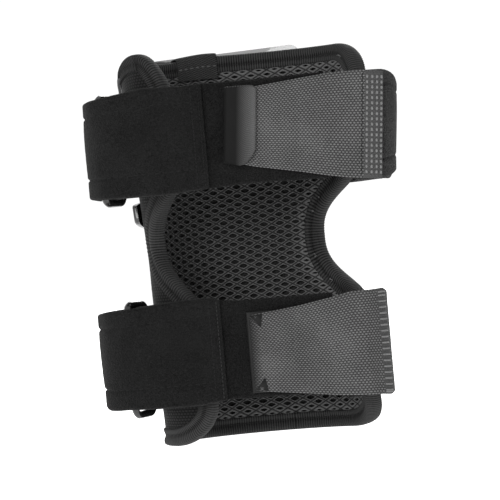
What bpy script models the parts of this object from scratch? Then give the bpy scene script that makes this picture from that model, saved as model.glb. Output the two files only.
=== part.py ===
"""A wrist guard for snow and skate sports: a padded sleeve that opens at the front, two
hook-and-loop straps on plastic rings, and a hard palm shell riveted to the back.

The sleeve is a flat pattern wrapped round an upright oval. (s, z) are places on that
pattern: s is the distance round the oval from the middle of the back, positive towards
the wearer's thumb side (+X), and z is the height. d is the distance out from the middle
of the padding. +Z runs from the wrist end to the hand end, and the opening faces -Y.
"""

import math
from functools import lru_cache

import bmesh
import bpy
import numpy as np
from mathutils import Matrix, Vector

MM = 0.001

# Driving dimensions, in millimetres.
HEIGHT = 155.5
AXIS_X, AXIS_Y = 3.32, -0.70  # the oval's axis, placed so that the origin is mid-box
GAP = 0.35  # the least clearance between pieces

# The oval: half width and half depth of the padding's middle surface.
WRIST_HALF_WIDTH, HAND_EXTRA_WIDTH = 40.8, 7.2
WRIST_HALF_DEPTH, HAND_EXTRA_DEPTH = 26.5, 2.5
FLARE_START, FLARE_POWER = 50.0, 1.6

# The padding's layers, as distances from its middle surface.
LINER = (-2.5, -1.15)
FOAM = (-0.8, 1.25)
COVER = (1.6, 2.5)
TAPE_REACH, TAPE_INSIDE, TAPE_OUTSIDE = 7.0, 2.95, 3.6
LAYER_INSET = 1.1  # how far the layers stop short of the taped edge

# The pattern's edges.
LEFT_WIDTH, LEFT_SLANT = 84.8, 0.035
WAIST_DEPTH, WAIST_HEIGHT, WAIST_REACH = 22.4, 79.8, 35.0
RIGHT_NOTCH, RIGHT_WIDTH, RIGHT_SLANT = 28.0, 60.5, 0.05
NOTCH_HEIGHT, NOTCH_REACH, NOTCH_POWER = 78.5, 26.9, 2.7
# Each round corner's width along the edge of the end and height up the side.
TOP_LEFT, BOTTOM_LEFT = (11.3, 22.0), (21.0, 16.0)
TOP_RIGHT, BOTTOM_RIGHT = (26.5, 60.0), (24.5, 24.0)

# Where the flaps bend, as angles round the oval from the middle of the back.
LEFT_BEND, RIGHT_BEND = math.radians(-96), math.radians(52)
BEND_GAP = 0.8  # each panel stops this far from the bend

# The straps.
STRAP_WIDTH, LOOP_WIDTH = 40.0, 38.4
STRAP_HEIGHTS = {"upper": 119.0, "lower": 34.5}
PADDING, TAPE, WEBBING = 3.0, 1.6, 1.0
FRONT = -31.0  # the hook tapes' middle plane
RING_BAR, RING_INSIDE = 1.5, 39.6
RING_CORNER = 3.2

# The palm shell.
SHELL_INSIDE, SHELL_OUTSIDE = 4.0, 6.0
SHELL_TOP, SHELL_TILT = 158.7, 0.035  # the top edge rises towards the thumb
SKID_PLANE = 36.5  # the flat land on the palm heel, from the oval's axis
RIVET_SPOTS = [(-16, 16), (16, 16), (-16, 60), (16, 60), (-36, 134), (15, 136)]
RIVET_STEM, RIVET_HEAD, RIVET_DOME = 1.6, 4.0, 1.5

COLOURS = {
    "cover": ((0.016, 0.016, 0.017), 0.85),
    "liner": ((0.020, 0.020, 0.021), 0.80),
    "foam": ((0.050, 0.050, 0.052), 0.95),
    "binding": ((0.014, 0.014, 0.015), 0.75),
    "strap": ((0.015, 0.015, 0.016), 0.90),
    "loop": ((0.009, 0.009, 0.010), 0.95),
    "hook_tape": ((0.085, 0.085, 0.088), 0.60),
    "shell": ((0.010, 0.010, 0.011), 0.22),
    "ring": ((0.010, 0.010, 0.011), 0.15),
    "rivet": ((0.30, 0.30, 0.31), 0.30),
}


# Placing points.


def oval(z):
    """Half width and half depth of the padding's middle surface at height z."""
    flare = max(0.0, (z - FLARE_START) / (HEIGHT - FLARE_START)) ** FLARE_POWER
    return WRIST_HALF_WIDTH + HAND_EXTRA_WIDTH * flare, WRIST_HALF_DEPTH + HAND_EXTRA_DEPTH * flare


@lru_cache(maxsize=None)
def arc_table(z):
    """Angles round the oval and the distance s that each lies at."""
    half_width, half_depth = oval(z)
    angles = np.linspace(-math.pi, math.pi, 721)
    x, y = half_width * np.sin(angles), half_depth * np.cos(angles)
    steps = np.hypot(np.diff(x), np.diff(y))
    distance = np.concatenate([[0.0], np.cumsum(steps)])
    return angles, distance - distance[360]


def arc(angle, z):
    """The distance s that an angle round the oval lies at."""
    angles, distance = arc_table(round(z, 4))
    return float(np.interp(angle, angles, distance))


def spread(s0, s1, z, count):
    """Distances from s0 to s1 in this many equal steps of angle, so closer where it bends."""
    angles, distance = arc_table(round(z, 4))
    steps = np.linspace(np.interp(s0, distance, angles), np.interp(s1, distance, angles), count + 1)
    return [s0, *np.interp(steps[1:-1], angles, distance), s1]


def wrap(s, z, d=0.0):
    """The point of the pattern (s, z), d outside the padding's middle surface."""
    angles, distance = arc_table(round(z, 4))
    angle = float(np.interp(s, distance, angles))
    half_width, half_depth = oval(z)
    out = Vector((math.sin(angle) / half_width, math.cos(angle) / half_depth, 0)).normalized()
    return Vector((half_width * math.sin(angle), half_depth * math.cos(angle), z)) + out * d


def smooth(points, steps):
    """A Catmull-Rom curve through the points, with this many steps between two of them."""
    points = [Vector(p) for p in points]
    ends = [2 * points[0] - points[1], *points, 2 * points[-1] - points[-2]]
    curve = []
    for p0, p1, p2, p3 in zip(ends, ends[1:], ends[2:], ends[3:]):
        for k in range(steps):
            t = k / steps
            curve.append(
                0.5 * (2 * p1 + (p2 - p0) * t + (2 * p0 - 5 * p1 + 4 * p2 - p3) * t * t
                       + (3 * p1 - p0 - 3 * p2 + p3) * t**3)
            )
    return [*curve, points[-1]]


# Making objects.


def material(slot):
    made = bpy.data.materials.get(slot)
    if made is None:
        colour, roughness = COLOURS[slot]
        made = bpy.data.materials.new(slot)
        made.use_nodes = True
        shader = made.node_tree.nodes["Principled BSDF"]
        shader.inputs["Base Color"].default_value = (*colour, 1)
        shader.inputs["Roughness"].default_value = roughness
        shader.inputs["Metallic"].default_value = 1.0 if slot == "rivet" else 0.0
    return made


def add(name, slot, bm, origin=(0, 0, 0)):
    """Makes the object, in metres, with its own origin at this place on the oval's frame."""
    bmesh.ops.recalc_face_normals(bm, faces=bm.faces)
    shift = Vector((AXIS_X, AXIS_Y, 0))
    bmesh.ops.translate(bm, verts=bm.verts, vec=-Vector(origin))
    bmesh.ops.scale(bm, verts=bm.verts, vec=(MM, MM, MM))
    mesh = bpy.data.meshes.new(name)
    bm.to_mesh(mesh)
    bm.free()
    mesh.shade_smooth()
    mesh.set_sharp_from_angle(angle=math.radians(35))
    mesh.materials.append(material(slot))
    obj = bpy.data.objects.new(name, mesh)
    obj.location = (Vector(origin) + shift) * MM
    bpy.context.scene.collection.objects.link(obj)
    return obj


def loft(sections, closed=False):
    """A solid through rings of points, capped at both ends unless it closes on itself."""
    bm = bmesh.new()
    rings = [[bm.verts.new(p) for p in section] for section in sections]
    pairs = list(zip(rings, rings[1:])) + ([(rings[-1], rings[0])] if closed else [])
    for a, b in pairs:
        for i in range(len(a)):
            j = (i + 1) % len(a)
            bm.faces.new((a[i], a[j], b[j], b[i]))
    if not closed:
        bm.faces.new(reversed(rings[0]))
        bm.faces.new(rings[-1])
    return bm


def panel(name, slot, layer, heights, left, right, columns):
    """One layer of the sleeve between two edges, which are functions of the height."""
    inner, outer = layer
    bm = bmesh.new()
    grids = []
    for d in (inner, outer):
        grid = []
        for z in heights:
            row = [wrap(s, z, d) for s in spread(left(z), right(z), z, columns)]
            grid.append([bm.verts.new(p) for p in row])
        grids.append(grid)
    back, front = grids
    rows = len(heights) - 1
    for j in range(rows):
        for i in range(columns):
            for g in grids:
                bm.faces.new((g[j][i], g[j][i + 1], g[j + 1][i + 1], g[j + 1][i]))
        for i in (0, columns):
            bm.faces.new((back[j][i], front[j][i], front[j + 1][i], back[j + 1][i]))
    for j in (0, rows):
        for i in range(columns):
            bm.faces.new((back[j][i], back[j][i + 1], front[j][i + 1], front[j][i]))
    return add(name, slot, bm)


def ribbon(name, slot, low, high, thickness, origin=(0, 0, 0), closed=False):
    """A strap whose two long edges are centred on the lines low and high."""
    sections = []
    count = len(low)
    for i in range(count):
        before, after = (i - 1) % count, (i + 1) % count
        if not closed:
            before, after = max(i - 1, 0), min(i + 1, count - 1)
        along = (low[after] + high[after]) - (low[before] + high[before])
        out = along.cross(high[i] - low[i]).normalized() * (thickness / 2)
        sections.append([low[i] - out, low[i] + out, high[i] + out, high[i] - out])
    return add(name, slot, loft(sections, closed), origin)


def upright(points, low, high):
    """Two copies of a line in plan, at a low and a high level."""
    return [Vector((x, y, low)) for x, y in points], [Vector((x, y, high)) for x, y in points]


# The sleeve's pattern.

# Where a side's edge curves, as rows of the panels: from, to and step.
WAIST_ROWS = (WAIST_HEIGHT - WAIST_REACH, WAIST_HEIGHT + WAIST_REACH, 4.3)
NOTCH_ROWS = (NOTCH_HEIGHT - 40, NOTCH_HEIGHT + 40, 3.0)


def waist(z):
    """How far the left edge is cut in, from 0 to 1."""
    away = (z - WAIST_HEIGHT) / WAIST_REACH
    return 0.5 * (1 + math.cos(math.pi * away)) if abs(away) < 1 else 0.0


def notch(z):
    """How far out the thumb notch's edge is, from 0 at its bottom to 1."""
    return 1 - math.exp(-(abs((z - NOTCH_HEIGHT) / NOTCH_REACH) ** NOTCH_POWER))


def corner_cut(z, top, bottom, inset):
    """What round corners take off a side edge at height z."""
    cut = 0.0
    for (width, height), from_end in ((top, HEIGHT - inset - z), (bottom, z - inset)):
        width, height = width - inset, height - inset
        if from_end < height:
            rise = 1 - max(0.0, from_end) / height
            cut = max(cut, width * (1 - math.sqrt(max(0.0, 1 - rise**2))))
    return cut


def plain_edge(side, z):
    """The s of the sleeve's left or right edge before its corners are rounded."""
    if side == "left":
        return -LEFT_WIDTH - LEFT_SLANT * z + WAIST_DEPTH * waist(z)
    return RIGHT_NOTCH + (RIGHT_WIDTH + RIGHT_SLANT * z - RIGHT_NOTCH) * notch(z)


def side_edge(side, z, inset=0.0):
    """The s of the sleeve's left or right edge, moved in by the inset."""
    corners = (TOP_LEFT, BOTTOM_LEFT) if side == "left" else (TOP_RIGHT, BOTTOM_RIGHT)
    slope = (plain_edge(side, z + 0.1) - plain_edge(side, z - 0.1)) / 0.2
    moved = inset * math.hypot(1, slope) + corner_cut(z, *corners, inset)
    return plain_edge(side, z) + (moved if side == "left" else -moved)


def row_heights(low, high, curved, step=12.0):
    """Heights from low to high, closer in the corners and in the curved (from, to, step)."""
    start, stop, fine = curved
    rows = {low, high}
    for offset in (0.4, 1.5, 3.5, 6.5, 10.0, 14.0, 19.0):
        rows |= {low + offset} if low < 5 else set()
        rows |= {high - offset} if high > HEIGHT - 5 else set()
    start, stop = max(start, low), min(stop, high)
    if start < stop:
        rows |= set(np.linspace(start, stop, max(1, round((stop - start) / fine)) + 1))
    rows = sorted(rows)
    for a, b in zip(rows[:-1], rows[1:]):
        rows += list(np.linspace(a, b, math.ceil((b - a) / step) + 1)[1:-1])
    return sorted(rows)


def notch_crossings(inset, offset):
    """The heights below and above the notch where its edge is this far past the bend."""
    found = []
    for end in (0.0, HEIGHT):
        inside, outside = NOTCH_HEIGHT, NOTCH_HEIGHT + (end - NOTCH_HEIGHT) / 4
        for _ in range(40):
            z = (inside + outside) / 2
            if side_edge("right", z, inset) < arc(RIGHT_BEND, z) + offset:
                inside = z
            else:
                outside = z
        found.append(inside)
    return found


def sleeve_panels():
    """Liner, foam and cover of the back and of the three flaps."""
    low, high = LAYER_INSET, HEIGHT - LAYER_INSET
    back_rows = row_heights(low, high, (*notch_crossings(LAYER_INSET, -BEND_GAP), 4.2))
    below, above = notch_crossings(LAYER_INSET, BEND_GAP + 1)

    def left_bend(z, gap):
        return arc(LEFT_BEND, z) + gap

    def right_bend(z, gap):
        return arc(RIGHT_BEND, z) + gap

    def left_side(z):
        return side_edge("left", z, LAYER_INSET)

    def right_side(z):
        return side_edge("right", z, LAYER_INSET)

    for slot, layer in (("liner", LINER), ("foam", FOAM), ("cover", COVER)):
        back = panel(
            f"back_{slot}", slot, layer, back_rows,
            lambda z: left_bend(z, BEND_GAP),
            lambda z: min(right_bend(z, -BEND_GAP), right_side(z)), 14,
        )
        if slot != "liner":
            cut_rivet_holes(back, RIVET_STEM + GAP if slot == "cover" else RIVET_HEAD + GAP)
        panel(
            f"left_flap_{slot}", slot, layer, row_heights(low, high, WAIST_ROWS),
            left_side, lambda z: left_bend(z, -BEND_GAP), 4,
        )
        for end, start, stop in (("wrist_end", low, below), ("hand_end", above, high)):
            panel(
                f"{end}_flap_{slot}", slot, layer, row_heights(start, stop, NOTCH_ROWS),
                lambda z: right_bend(z, BEND_GAP), right_side, 4,
            )


# The binding tape round the sleeve's edge.


def edge_line():
    """The sleeve's outline as (s, z), anticlockwise from the middle of the bottom."""
    left = [(side_edge("left", z), z) for z in row_heights(0.0, HEIGHT, WAIST_ROWS)]
    heights = row_heights(0.0, HEIGHT, NOTCH_ROWS)
    for offset in (-BEND_GAP, BEND_GAP):
        heights += notch_crossings(0, offset)
    right = [(side_edge("right", z), z) for z in sorted(heights)]
    ends = []
    for level in (0.0, HEIGHT):
        start, stop = (side_edge(side, level) for side in ("left", "right"))
        places = spread(start, stop, level, 20)[1:-1]
        for bend in (LEFT_BEND, RIGHT_BEND):
            places += [arc(bend, level) - BEND_GAP, arc(bend, level) + BEND_GAP]
        ends.append([(s, level) for s in sorted(places)])
    line = right + ends[1][::-1] + left[::-1] + ends[0]
    start = min(range(len(line)), key=lambda i: abs(line[i][0]) + 100 * line[i][1])
    return line[start:] + line[:start]


def binding_piece(name, line, clamp):
    """A folded tape over part of the outline; clamp keeps its legs on one side of a bend."""
    sections = []
    for i, (s, z) in enumerate(line):
        ahead, behind = line[min(i + 1, len(line) - 1)], line[max(i - 1, 0)]
        along = Vector((ahead[0] - behind[0], ahead[1] - behind[1])).normalized()
        inward = Vector((-along.y, along.x))

        def at(reach, d):
            p = Vector((s, z)) + inward * reach
            level = min(max(p.y, 0.0), HEIGHT)
            return wrap(clamp(p.x, level), level, d)

        hem = TAPE_OUTSIDE - TAPE_INSIDE
        sections.append([
            at(0, TAPE_OUTSIDE), at(TAPE_REACH, TAPE_OUTSIDE), at(TAPE_REACH, TAPE_INSIDE),
            at(hem, TAPE_INSIDE), at(hem, -TAPE_INSIDE), at(TAPE_REACH, -TAPE_INSIDE),
            at(TAPE_REACH, -TAPE_OUTSIDE), at(0, -TAPE_OUTSIDE),
        ])
    return add(name, "binding", loft(sections))


def bindings():
    """The edge tape, in the pieces that the flaps' bends part."""
    def zone(s, z):
        if s < arc(LEFT_BEND, z):
            return "left_flap"
        if s > arc(RIGHT_BEND, z):
            return "hand_end_flap" if z > NOTCH_HEIGHT else "wrist_end_flap"
        if s > RIGHT_NOTCH - 8 and abs(z - NOTCH_HEIGHT) < 40:
            return "notch"
        return "hand_end" if z > NOTCH_HEIGHT else "wrist_end"

    def keep_side(place):
        def clamp(s, z):
            left, right = arc(LEFT_BEND, z), arc(RIGHT_BEND, z)
            if place == "left_flap":
                return min(s, left - BEND_GAP)
            if place in ("hand_end_flap", "wrist_end_flap"):
                return max(s, right + BEND_GAP)
            return min(max(s, left + BEND_GAP), right - BEND_GAP)
        return clamp

    bends = (LEFT_BEND, RIGHT_BEND)
    line = edge_line()
    runs = []
    for point in line:
        place = zone(*point)
        if any(abs(point[0] - arc(bend, point[1])) < BEND_GAP - 1e-4 for bend in bends):
            continue
        if not runs or runs[-1][0] != place:
            runs.append((place, []))
        runs[-1][1].append(point)
    if runs[0][0] == runs[-1][0]:
        runs[0] = (runs[0][0], runs.pop()[1] + runs[0][1])
    for place, points in runs:
        binding_piece(f"{place}_binding", points, keep_side(place))


# The palm shell and its rivets.


def shell_edges(z):
    """Left and right edge of the palm shell at height z, as s."""
    wing = min(1.0, max(0.0, (z - 80.5) / 10))
    left = -24 - 30.5 * wing * wing * (3 - 2 * wing)
    right = 22 + 2 * math.sin(math.pi * min(z, 120) / 120)
    top, bottom = SHELL_TOP, 0.0
    for radius, from_end in ((13.0, top - z), (9.0, z - bottom)):
        if from_end < radius:
            cut = radius - math.sqrt(max(0.0, radius**2 - (radius - from_end) ** 2))
            left, right = left + cut, right - cut
    return left, right


def shell_lift(s, z):
    """How far the shell stands out beyond its base distance: palm heel and flared top."""
    heel = 7.0 * math.exp(-(((z - 106) / 20) ** 2) - (s / 30) ** 2)
    top = 2.4 * max(0.0, (z - 138) / 20) ** 2
    return heel + top


def palm_shell():
    """The hard shell over the back of the sleeve, with a flat skid land on the palm heel."""
    rows = [0, 0.6, 2.5, 6, 12, 28, 44, 60, 72, 80.5, 82, 83.2, 84.3, 85.5, 86.7, 87.8, 89, 90.5]
    rows += [94, 98, 104, 110, 116, 122, 128, 134, 140, 146, 151, 155, 157.5, SHELL_TOP]
    columns = 16
    bm = bmesh.new()
    grids = []
    for d in (SHELL_INSIDE, SHELL_OUTSIDE):
        flat = SKID_PLANE - (SHELL_OUTSIDE - d)
        grid = []
        for z in rows:
            left, right = shell_edges(z)
            row = []
            for i in range(columns + 1):
                s = left + (right - left) * i / columns
                level = min(z, HEIGHT)
                p = wrap(s, level, d + shell_lift(s, z))
                rise = SHELL_TILT * s * max(0.0, (z - 140) / (SHELL_TOP - 140))
                row.append(bm.verts.new((p.x, min(p.y, flat), z + rise)))
            grid.append(row)
        grids.append(grid)
    back, front = grids
    last = len(rows) - 1
    for j in range(last):
        for i in range(columns):
            for g in grids:
                bm.faces.new((g[j][i], g[j][i + 1], g[j + 1][i + 1], g[j + 1][i]))
        for i in (0, columns):
            bm.faces.new((back[j][i], front[j][i], front[j + 1][i], back[j + 1][i]))
    for j in (0, last):
        for i in range(columns):
            bm.faces.new((back[j][i], back[j][i + 1], front[j][i + 1], front[j][i]))
    shell = add("palm_shell", "shell", bm)
    cut_rivet_holes(shell, RIVET_STEM + GAP)
    centre = wrap(-52, STRAP_HEIGHTS["upper"], 6)
    cut_away(shell, "anchor_window_cutter", centre, (20, 24, LOOP_WIDTH + 3))
    return shell


def helper(obj):
    obj.hide_render = True
    obj.display_type = "WIRE"
    return obj


def subtract(obj, cutter):
    cut = obj.modifiers.new(cutter.name, "BOOLEAN")
    cut.operation = "DIFFERENCE"
    cut.solver = "EXACT"
    cut.object = cutter


def cut_away(obj, name, centre, size):
    """Takes a box out of an object."""
    bm = bmesh.new()
    bmesh.ops.create_cube(bm, size=1)
    bmesh.ops.scale(bm, verts=bm.verts, vec=size)
    bmesh.ops.translate(bm, verts=bm.verts, vec=centre)
    subtract(obj, helper(add(name, "shell", bm)))


def rivet_frame(s, z):
    """A matrix whose Z axis runs straight out of the sleeve at a rivet."""
    foot = wrap(s, z)
    out = (wrap(s, z, 1) - foot).normalized()
    return Matrix.Translation(foot) @ out.to_track_quat("Z", "Y").to_matrix().to_4x4()


def cut_rivet_holes(obj, radius):
    """One cutter with a peg at each rivet."""
    bm = bmesh.new()
    for s, z in RIVET_SPOTS:
        placed = rivet_frame(s, z) @ Matrix.Translation((0, 0, 5))
        bmesh.ops.create_cone(
            bm, cap_ends=True, segments=12, radius1=radius, radius2=radius,
            depth=14 if radius < RIVET_HEAD else 30, matrix=placed,
        )
    subtract(obj, helper(add(f"{obj.name}_rivet_cutter", "rivet", bm)))


def rivets():
    """A domed head outside the shell, a stem through it and a flat washer end in the foam."""
    segments = 12
    for number, (s, z) in enumerate(RIVET_SPOTS, 1):
        rim = [(s + a, z + b) for a in (-4, 0, 4) for b in (-4, 0, 4)]
        seat = SHELL_OUTSIDE + max(shell_lift(*place) for place in rim) + GAP
        profile = [
            (0.0, -0.5), (RIVET_HEAD, -0.5), (RIVET_HEAD, 0.7), (RIVET_STEM, 0.7),
            (RIVET_STEM, seat), (RIVET_HEAD, seat),
        ]
        for k in range(1, 4):
            turn = math.pi / 2 * k / 4
            profile.append((RIVET_HEAD * math.cos(turn), seat + RIVET_DOME * math.sin(turn)))
        profile.append((0.0, seat + RIVET_DOME))
        bm = bmesh.new()
        line = [bm.verts.new((r, 0, h)) for r, h in profile]
        edges = [bm.edges.new(pair) for pair in zip(line, line[1:])]
        bmesh.ops.spin(
            bm, geom=line + edges, axis=(0, 0, 1), cent=(0, 0, 0),
            steps=segments, angle=2 * math.pi, use_merge=True,
        )
        bmesh.ops.remove_doubles(bm, verts=bm.verts, dist=1e-4)
        bmesh.ops.transform(bm, matrix=rivet_frame(s, z), verts=bm.verts)
        add(f"rivet_{number}", "rivet", bm)


# The straps.

# In plan, from the oval's axis: each ring's bar in its anchor, and its bar in the strap.
RINGS = {
    "upper": (Vector((-51.6, -6.2)), Vector((-58.2, -18.5))),
    "lower": (Vector((-46.9, -6.2)), Vector((-53.4, -19.2))),
}
# The padded loop's middle line, from the seam round the fold and back inside the ring.
LOOP_LINES = {
    "upper": [
        (-18.6, -32.5), (-28, -33.4), (-40, -33.8), (-51, -32.4), (-59, -28.6),
        (-63.4, -22.5), (-63.7, -15.5), (-60.2, -11.2), (-55.6, -11.4), (-53, -15),
        (-51.6, -20), (-47.5, -25), (-40, -28.2), (-30, -29.4), (-18.6, -29.6),
    ],
    "lower": [
        (-18.6, -32.5), (-28, -33.4), (-40, -33.8), (-51, -32.4), (-59, -28.6),
        (-63.4, -22.5), (-63.2, -15.5), (-60, -10.8), (-55, -10.2), (-50.8, -12.6),
        (-48.2, -17.5), (-46.2, -23), (-40.5, -27.4), (-30, -29.3), (-18.6, -29.6),
    ],
}
# The outermost point of the strap's right-hand fold, where it bends open.
FOLDS = {"upper": Vector((57.2, -15.0)), "lower": Vector((47.8, -15.0))}
# The hook tapes' tips.
TIPS = {"upper": -12.4, "lower": -7.0}
STRAP_SLACK = {"upper": 3.4, "lower": 0.6}  # how far each strap bows out past the flap's side
LOOP_THICKNESS = 2.6
BAND_Y, BAND_LEFT = -29.2, -16.6
BAND_RIGHT = {"upper": 26.0, "lower": 18.0}
BAND_THICKNESS = 1.2


def strap_ring(side):
    """A rounded-rectangle ring that turns in its anchor."""
    anchor_bar, strap_bar = RINGS[side]
    middle, across = (anchor_bar + strap_bar) / 2, (strap_bar - anchor_bar).normalized()
    half_long = RING_INSIDE / 2 + RING_BAR
    half_short = (strap_bar - anchor_bar).length / 2
    across_side = Vector((-across.y, across.x, 0))
    sections = []
    corners = [(1, 1, 0), (-1, 1, 90), (-1, -1, 180), (1, -1, 270)]
    for sx, sz, start in corners:
        for k in range(5):
            turn = math.radians(start + 90 * k / 4)
            u = sx * (half_short - RING_CORNER) + RING_CORNER * math.cos(turn)
            w = sz * (half_long - RING_CORNER) + RING_CORNER * math.sin(turn)
            out = Vector((across.x * math.cos(turn), across.y * math.cos(turn), math.sin(turn)))
            place = middle + across * u
            centre = Vector((place.x, place.y, STRAP_HEIGHTS[side] + w))
            section = []
            for around in np.linspace(0, 2 * math.pi, 11)[:-1]:
                away = out * math.cos(around) + across_side * math.sin(around)
                section.append(centre + away * RING_BAR)
            sections.append(section)
    add(f"{side}_ring", "ring", loft(sections, closed=True), (*anchor_bar, STRAP_HEIGHTS[side]))


def ring_anchor(side):
    """A webbing loop sewn to the cover and folded round the ring's bar."""
    bar, _ = RINGS[side]
    middle = STRAP_HEIGHTS[side]
    levels = (middle - LOOP_WIDTH / 2 + 1, middle + LOOP_WIDTH / 2 - 1)
    inner = COVER[1] + GAP + WEBBING / 2
    lines = []
    for z in levels:
        tail_end = arc(LEFT_BEND, z) + 2.0
        tail = np.linspace(tail_end + 12.5, tail_end, 5)
        line = [wrap(s, z, inner) for s in tail]
        toward = math.atan2(line[-1].y - bar.y, line[-1].x - bar.x)
        start, stop = toward - math.radians(52), toward - math.radians(325)
        for k in range(11):
            turn = start + (stop - start) * k / 10
            reach = RING_BAR + GAP + WEBBING / 2
            line.append(Vector((bar.x + reach * math.cos(turn), bar.y + reach * math.sin(turn), z)))
        line += [wrap(s, z, inner + WEBBING + GAP) for s in tail[::-1]]
        lines.append(line)
    ribbon(f"{side}_ring_anchor", "strap", lines[0], lines[1], WEBBING)


def padded_loop(side):
    """The padded strap end, folded through the ring and sewn to itself."""
    line = smooth([(x, y, 0) for x, y in LOOP_LINES[side]], 2)
    cap = Vector((-17.3, -31.05, 0))
    points = [(p.x, p.y) for p in [*line, cap]]
    low = STRAP_HEIGHTS[side] - LOOP_WIDTH / 2
    edges = upright(points, low, low + LOOP_WIDTH)
    _, bar = RINGS[side]
    origin = (*bar, STRAP_HEIGHTS[side])
    ribbon(f"{side}_padded_loop", "strap", *edges, LOOP_THICKNESS, origin, closed=True)
    band = [(x, BAND_Y) for x in np.linspace(BAND_LEFT, BAND_RIGHT[side], 7)]
    edges = upright(band, low, low + LOOP_WIDTH)
    ribbon(f"{side}_loop_band", "loop", *edges, BAND_THICKNESS, origin)


def strap_base(side):
    """The padded strap from its sewn end on the back to the fold at the right."""
    middle, fold = STRAP_HEIGHTS[side], FOLDS[side]
    lines = []
    for z in (middle - STRAP_WIDTH / 2, middle + STRAP_WIDTH / 2):
        out = COVER[1] + GAP + PADDING / 2
        bend = arc(RIGHT_BEND, z)
        sewn = [wrap(s, z, out) for s in np.linspace(bend - 9.5, bend - 3.5, 3)]
        leave = wrap(bend + 5, z, out + 3.2)
        slack = STRAP_SLACK[side]
        free = [Vector((fold.x - slack, fold.y + 13, z)), Vector((fold.x - slack / 6, fold.y + 5.5, z))]
        end = Vector((fold.x, fold.y + PADDING / 2 + GAP, z))
        lines.append(sewn + smooth([sewn[-1], leave, *free, end], 3)[1:])
    ribbon(f"{side}_strap_base", "strap", *lines, PADDING)


def strap_end(side):
    """The padded strap from the fold round to the front, with a round knuckle at the fold."""
    fold, middle = FOLDS[side], STRAP_HEIGHTS[side]
    low, high = middle - STRAP_WIDTH / 2, middle + STRAP_WIDTH / 2
    x = fold.x
    path = [(x, fold.y), (x - 1.6, -21.5), (x - 5.6, -26.0), (x - 10.4, -28.1), (x - 15.6, -28.4)]
    points = smooth([(px, py, 0) for px, py in path], 3)
    outline = []
    half = PADDING / 2
    for k in range(5):
        turn = math.pi * k / 4
        outline.append(Vector((x + half * math.cos(turn), fold.y + half * math.sin(turn), 0)))
    left, right = [], []
    for i in range(1, len(points)):
        ahead, behind = points[min(i + 1, len(points) - 1)], points[i - 1]
        along = (ahead - behind).normalized()
        across = Vector((along.y, -along.x, 0)) * half
        left.append(points[i] + across)
        right.append(points[i] - across)
    outline += left + right[::-1]
    sections = [[Vector((p.x, p.y, z)) for p in outline] for z in (low, high)]
    add(f"{side}_strap_end", "strap", loft(sections), (*fold, middle))


def tape_half_width(x, tip, root):
    """The hook tape narrows from the full width to three quarters of it at its tip."""
    share = min(1.0, max(0.0, (x - tip) / (root - tip)))
    return STRAP_WIDTH / 2 * (0.765 + 0.235 * min(1.0, share * 1.25))


def hook_tape(side):
    """The tape that closes the strap, and the pull tab folded from its tip."""
    fold, middle = FOLDS[side], STRAP_HEIGHTS[side]
    x = fold.x
    tip, root = TIPS[side], x - 5.0
    lift = 0.0 if side == "upper" else 1.9
    path = [
        (root + 0.6, -28.8), (root - 3.4, -30.5), (root - 8, FRONT), (20, FRONT),
        (12, FRONT - 0.4 * lift), (4, FRONT - lift), (tip, FRONT - lift),
    ]
    points = smooth([(px, py, 0) for px, py in path], 3)
    low, high = [], []
    for p in points:
        half = tape_half_width(p.x, tip, root)
        low.append(Vector((p.x, p.y, middle - half)))
        high.append(Vector((p.x, p.y, middle + half)))
    origin = (*fold, middle)
    ribbon(f"{side}_hook_tape", "hook_tape", low, high, TAPE, origin)
    if side == "upper":
        path = [(tip - 0.4, -32.6), (tip + 2, -33.2), (tip + 6, -33.5), (tip + 10.8, -33.1)]
        thickness = TAPE * 0.8
    else:
        path = [(tip + 0.6, -30.85), (tip + 3, -30.85), (tip + 6, -30.85), (tip + 9, -30.85)]
        thickness = 1.1
    points = smooth([(px, py, 0) for px, py in path], 2)
    half = STRAP_WIDTH / 2 * 0.76
    edges = upright([(p.x, p.y) for p in points], middle - half, middle + half)
    ribbon(f"{side}_pull_tab", "hook_tape", *edges, thickness, origin)


def edge_tab():
    """A short woven tab sewn over the hand-end edge, inside the back."""
    sections = []
    inner, outer = TAPE_OUTSIDE + GAP, TAPE_OUTSIDE + GAP + WEBBING
    low, high = HEIGHT - 8, HEIGHT + GAP
    profile = [
        (-inner, low), (-outer, low), (-outer, high + WEBBING),
        (TAPE_OUTSIDE, high + WEBBING), (TAPE_OUTSIDE, high), (-inner, high),
    ]
    for s in np.linspace(-30.5, -10, 7):
        section = []
        for d, z in profile:
            place = wrap(s, min(z, HEIGHT), d)
            section.append(Vector((place.x, place.y, z)))
        sections.append(section)
    add("edge_tab", "binding", loft(sections))


def main():
    for obj in list(bpy.data.objects):
        bpy.data.objects.remove(obj)
    sleeve_panels()
    bindings()
    palm_shell()
    rivets()
    edge_tab()
    for side in STRAP_HEIGHTS:
        strap_ring(side)
        ring_anchor(side)
        padded_loop(side)
        strap_base(side)
        strap_end(side)
        hook_tape(side)


main()
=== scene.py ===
"""The looks of the wrist guard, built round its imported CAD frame.

The guard is a padded sleeve that opens towards -Y, with a knitted mesh lining, a woven
cover and a ribbed binding round its edge. Two padded straps close it: each is drawn
through a plastic ring and held by hook tape. A hard palm shell is riveted to the back.

Lengths are millimetres from the sleeve's own axis until mesh_object() places them. The
sleeve is a flat pattern wrapped round an upright oval: (s, z) is a place on the pattern,
s being the distance round the oval from the middle of the back, positive towards the
thumb side (+X), and d is the distance out from the middle of the padding.
"""

import math

import bmesh
import bpy
import numpy as np
from mathutils import Matrix, Vector, kdtree, noise


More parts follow.
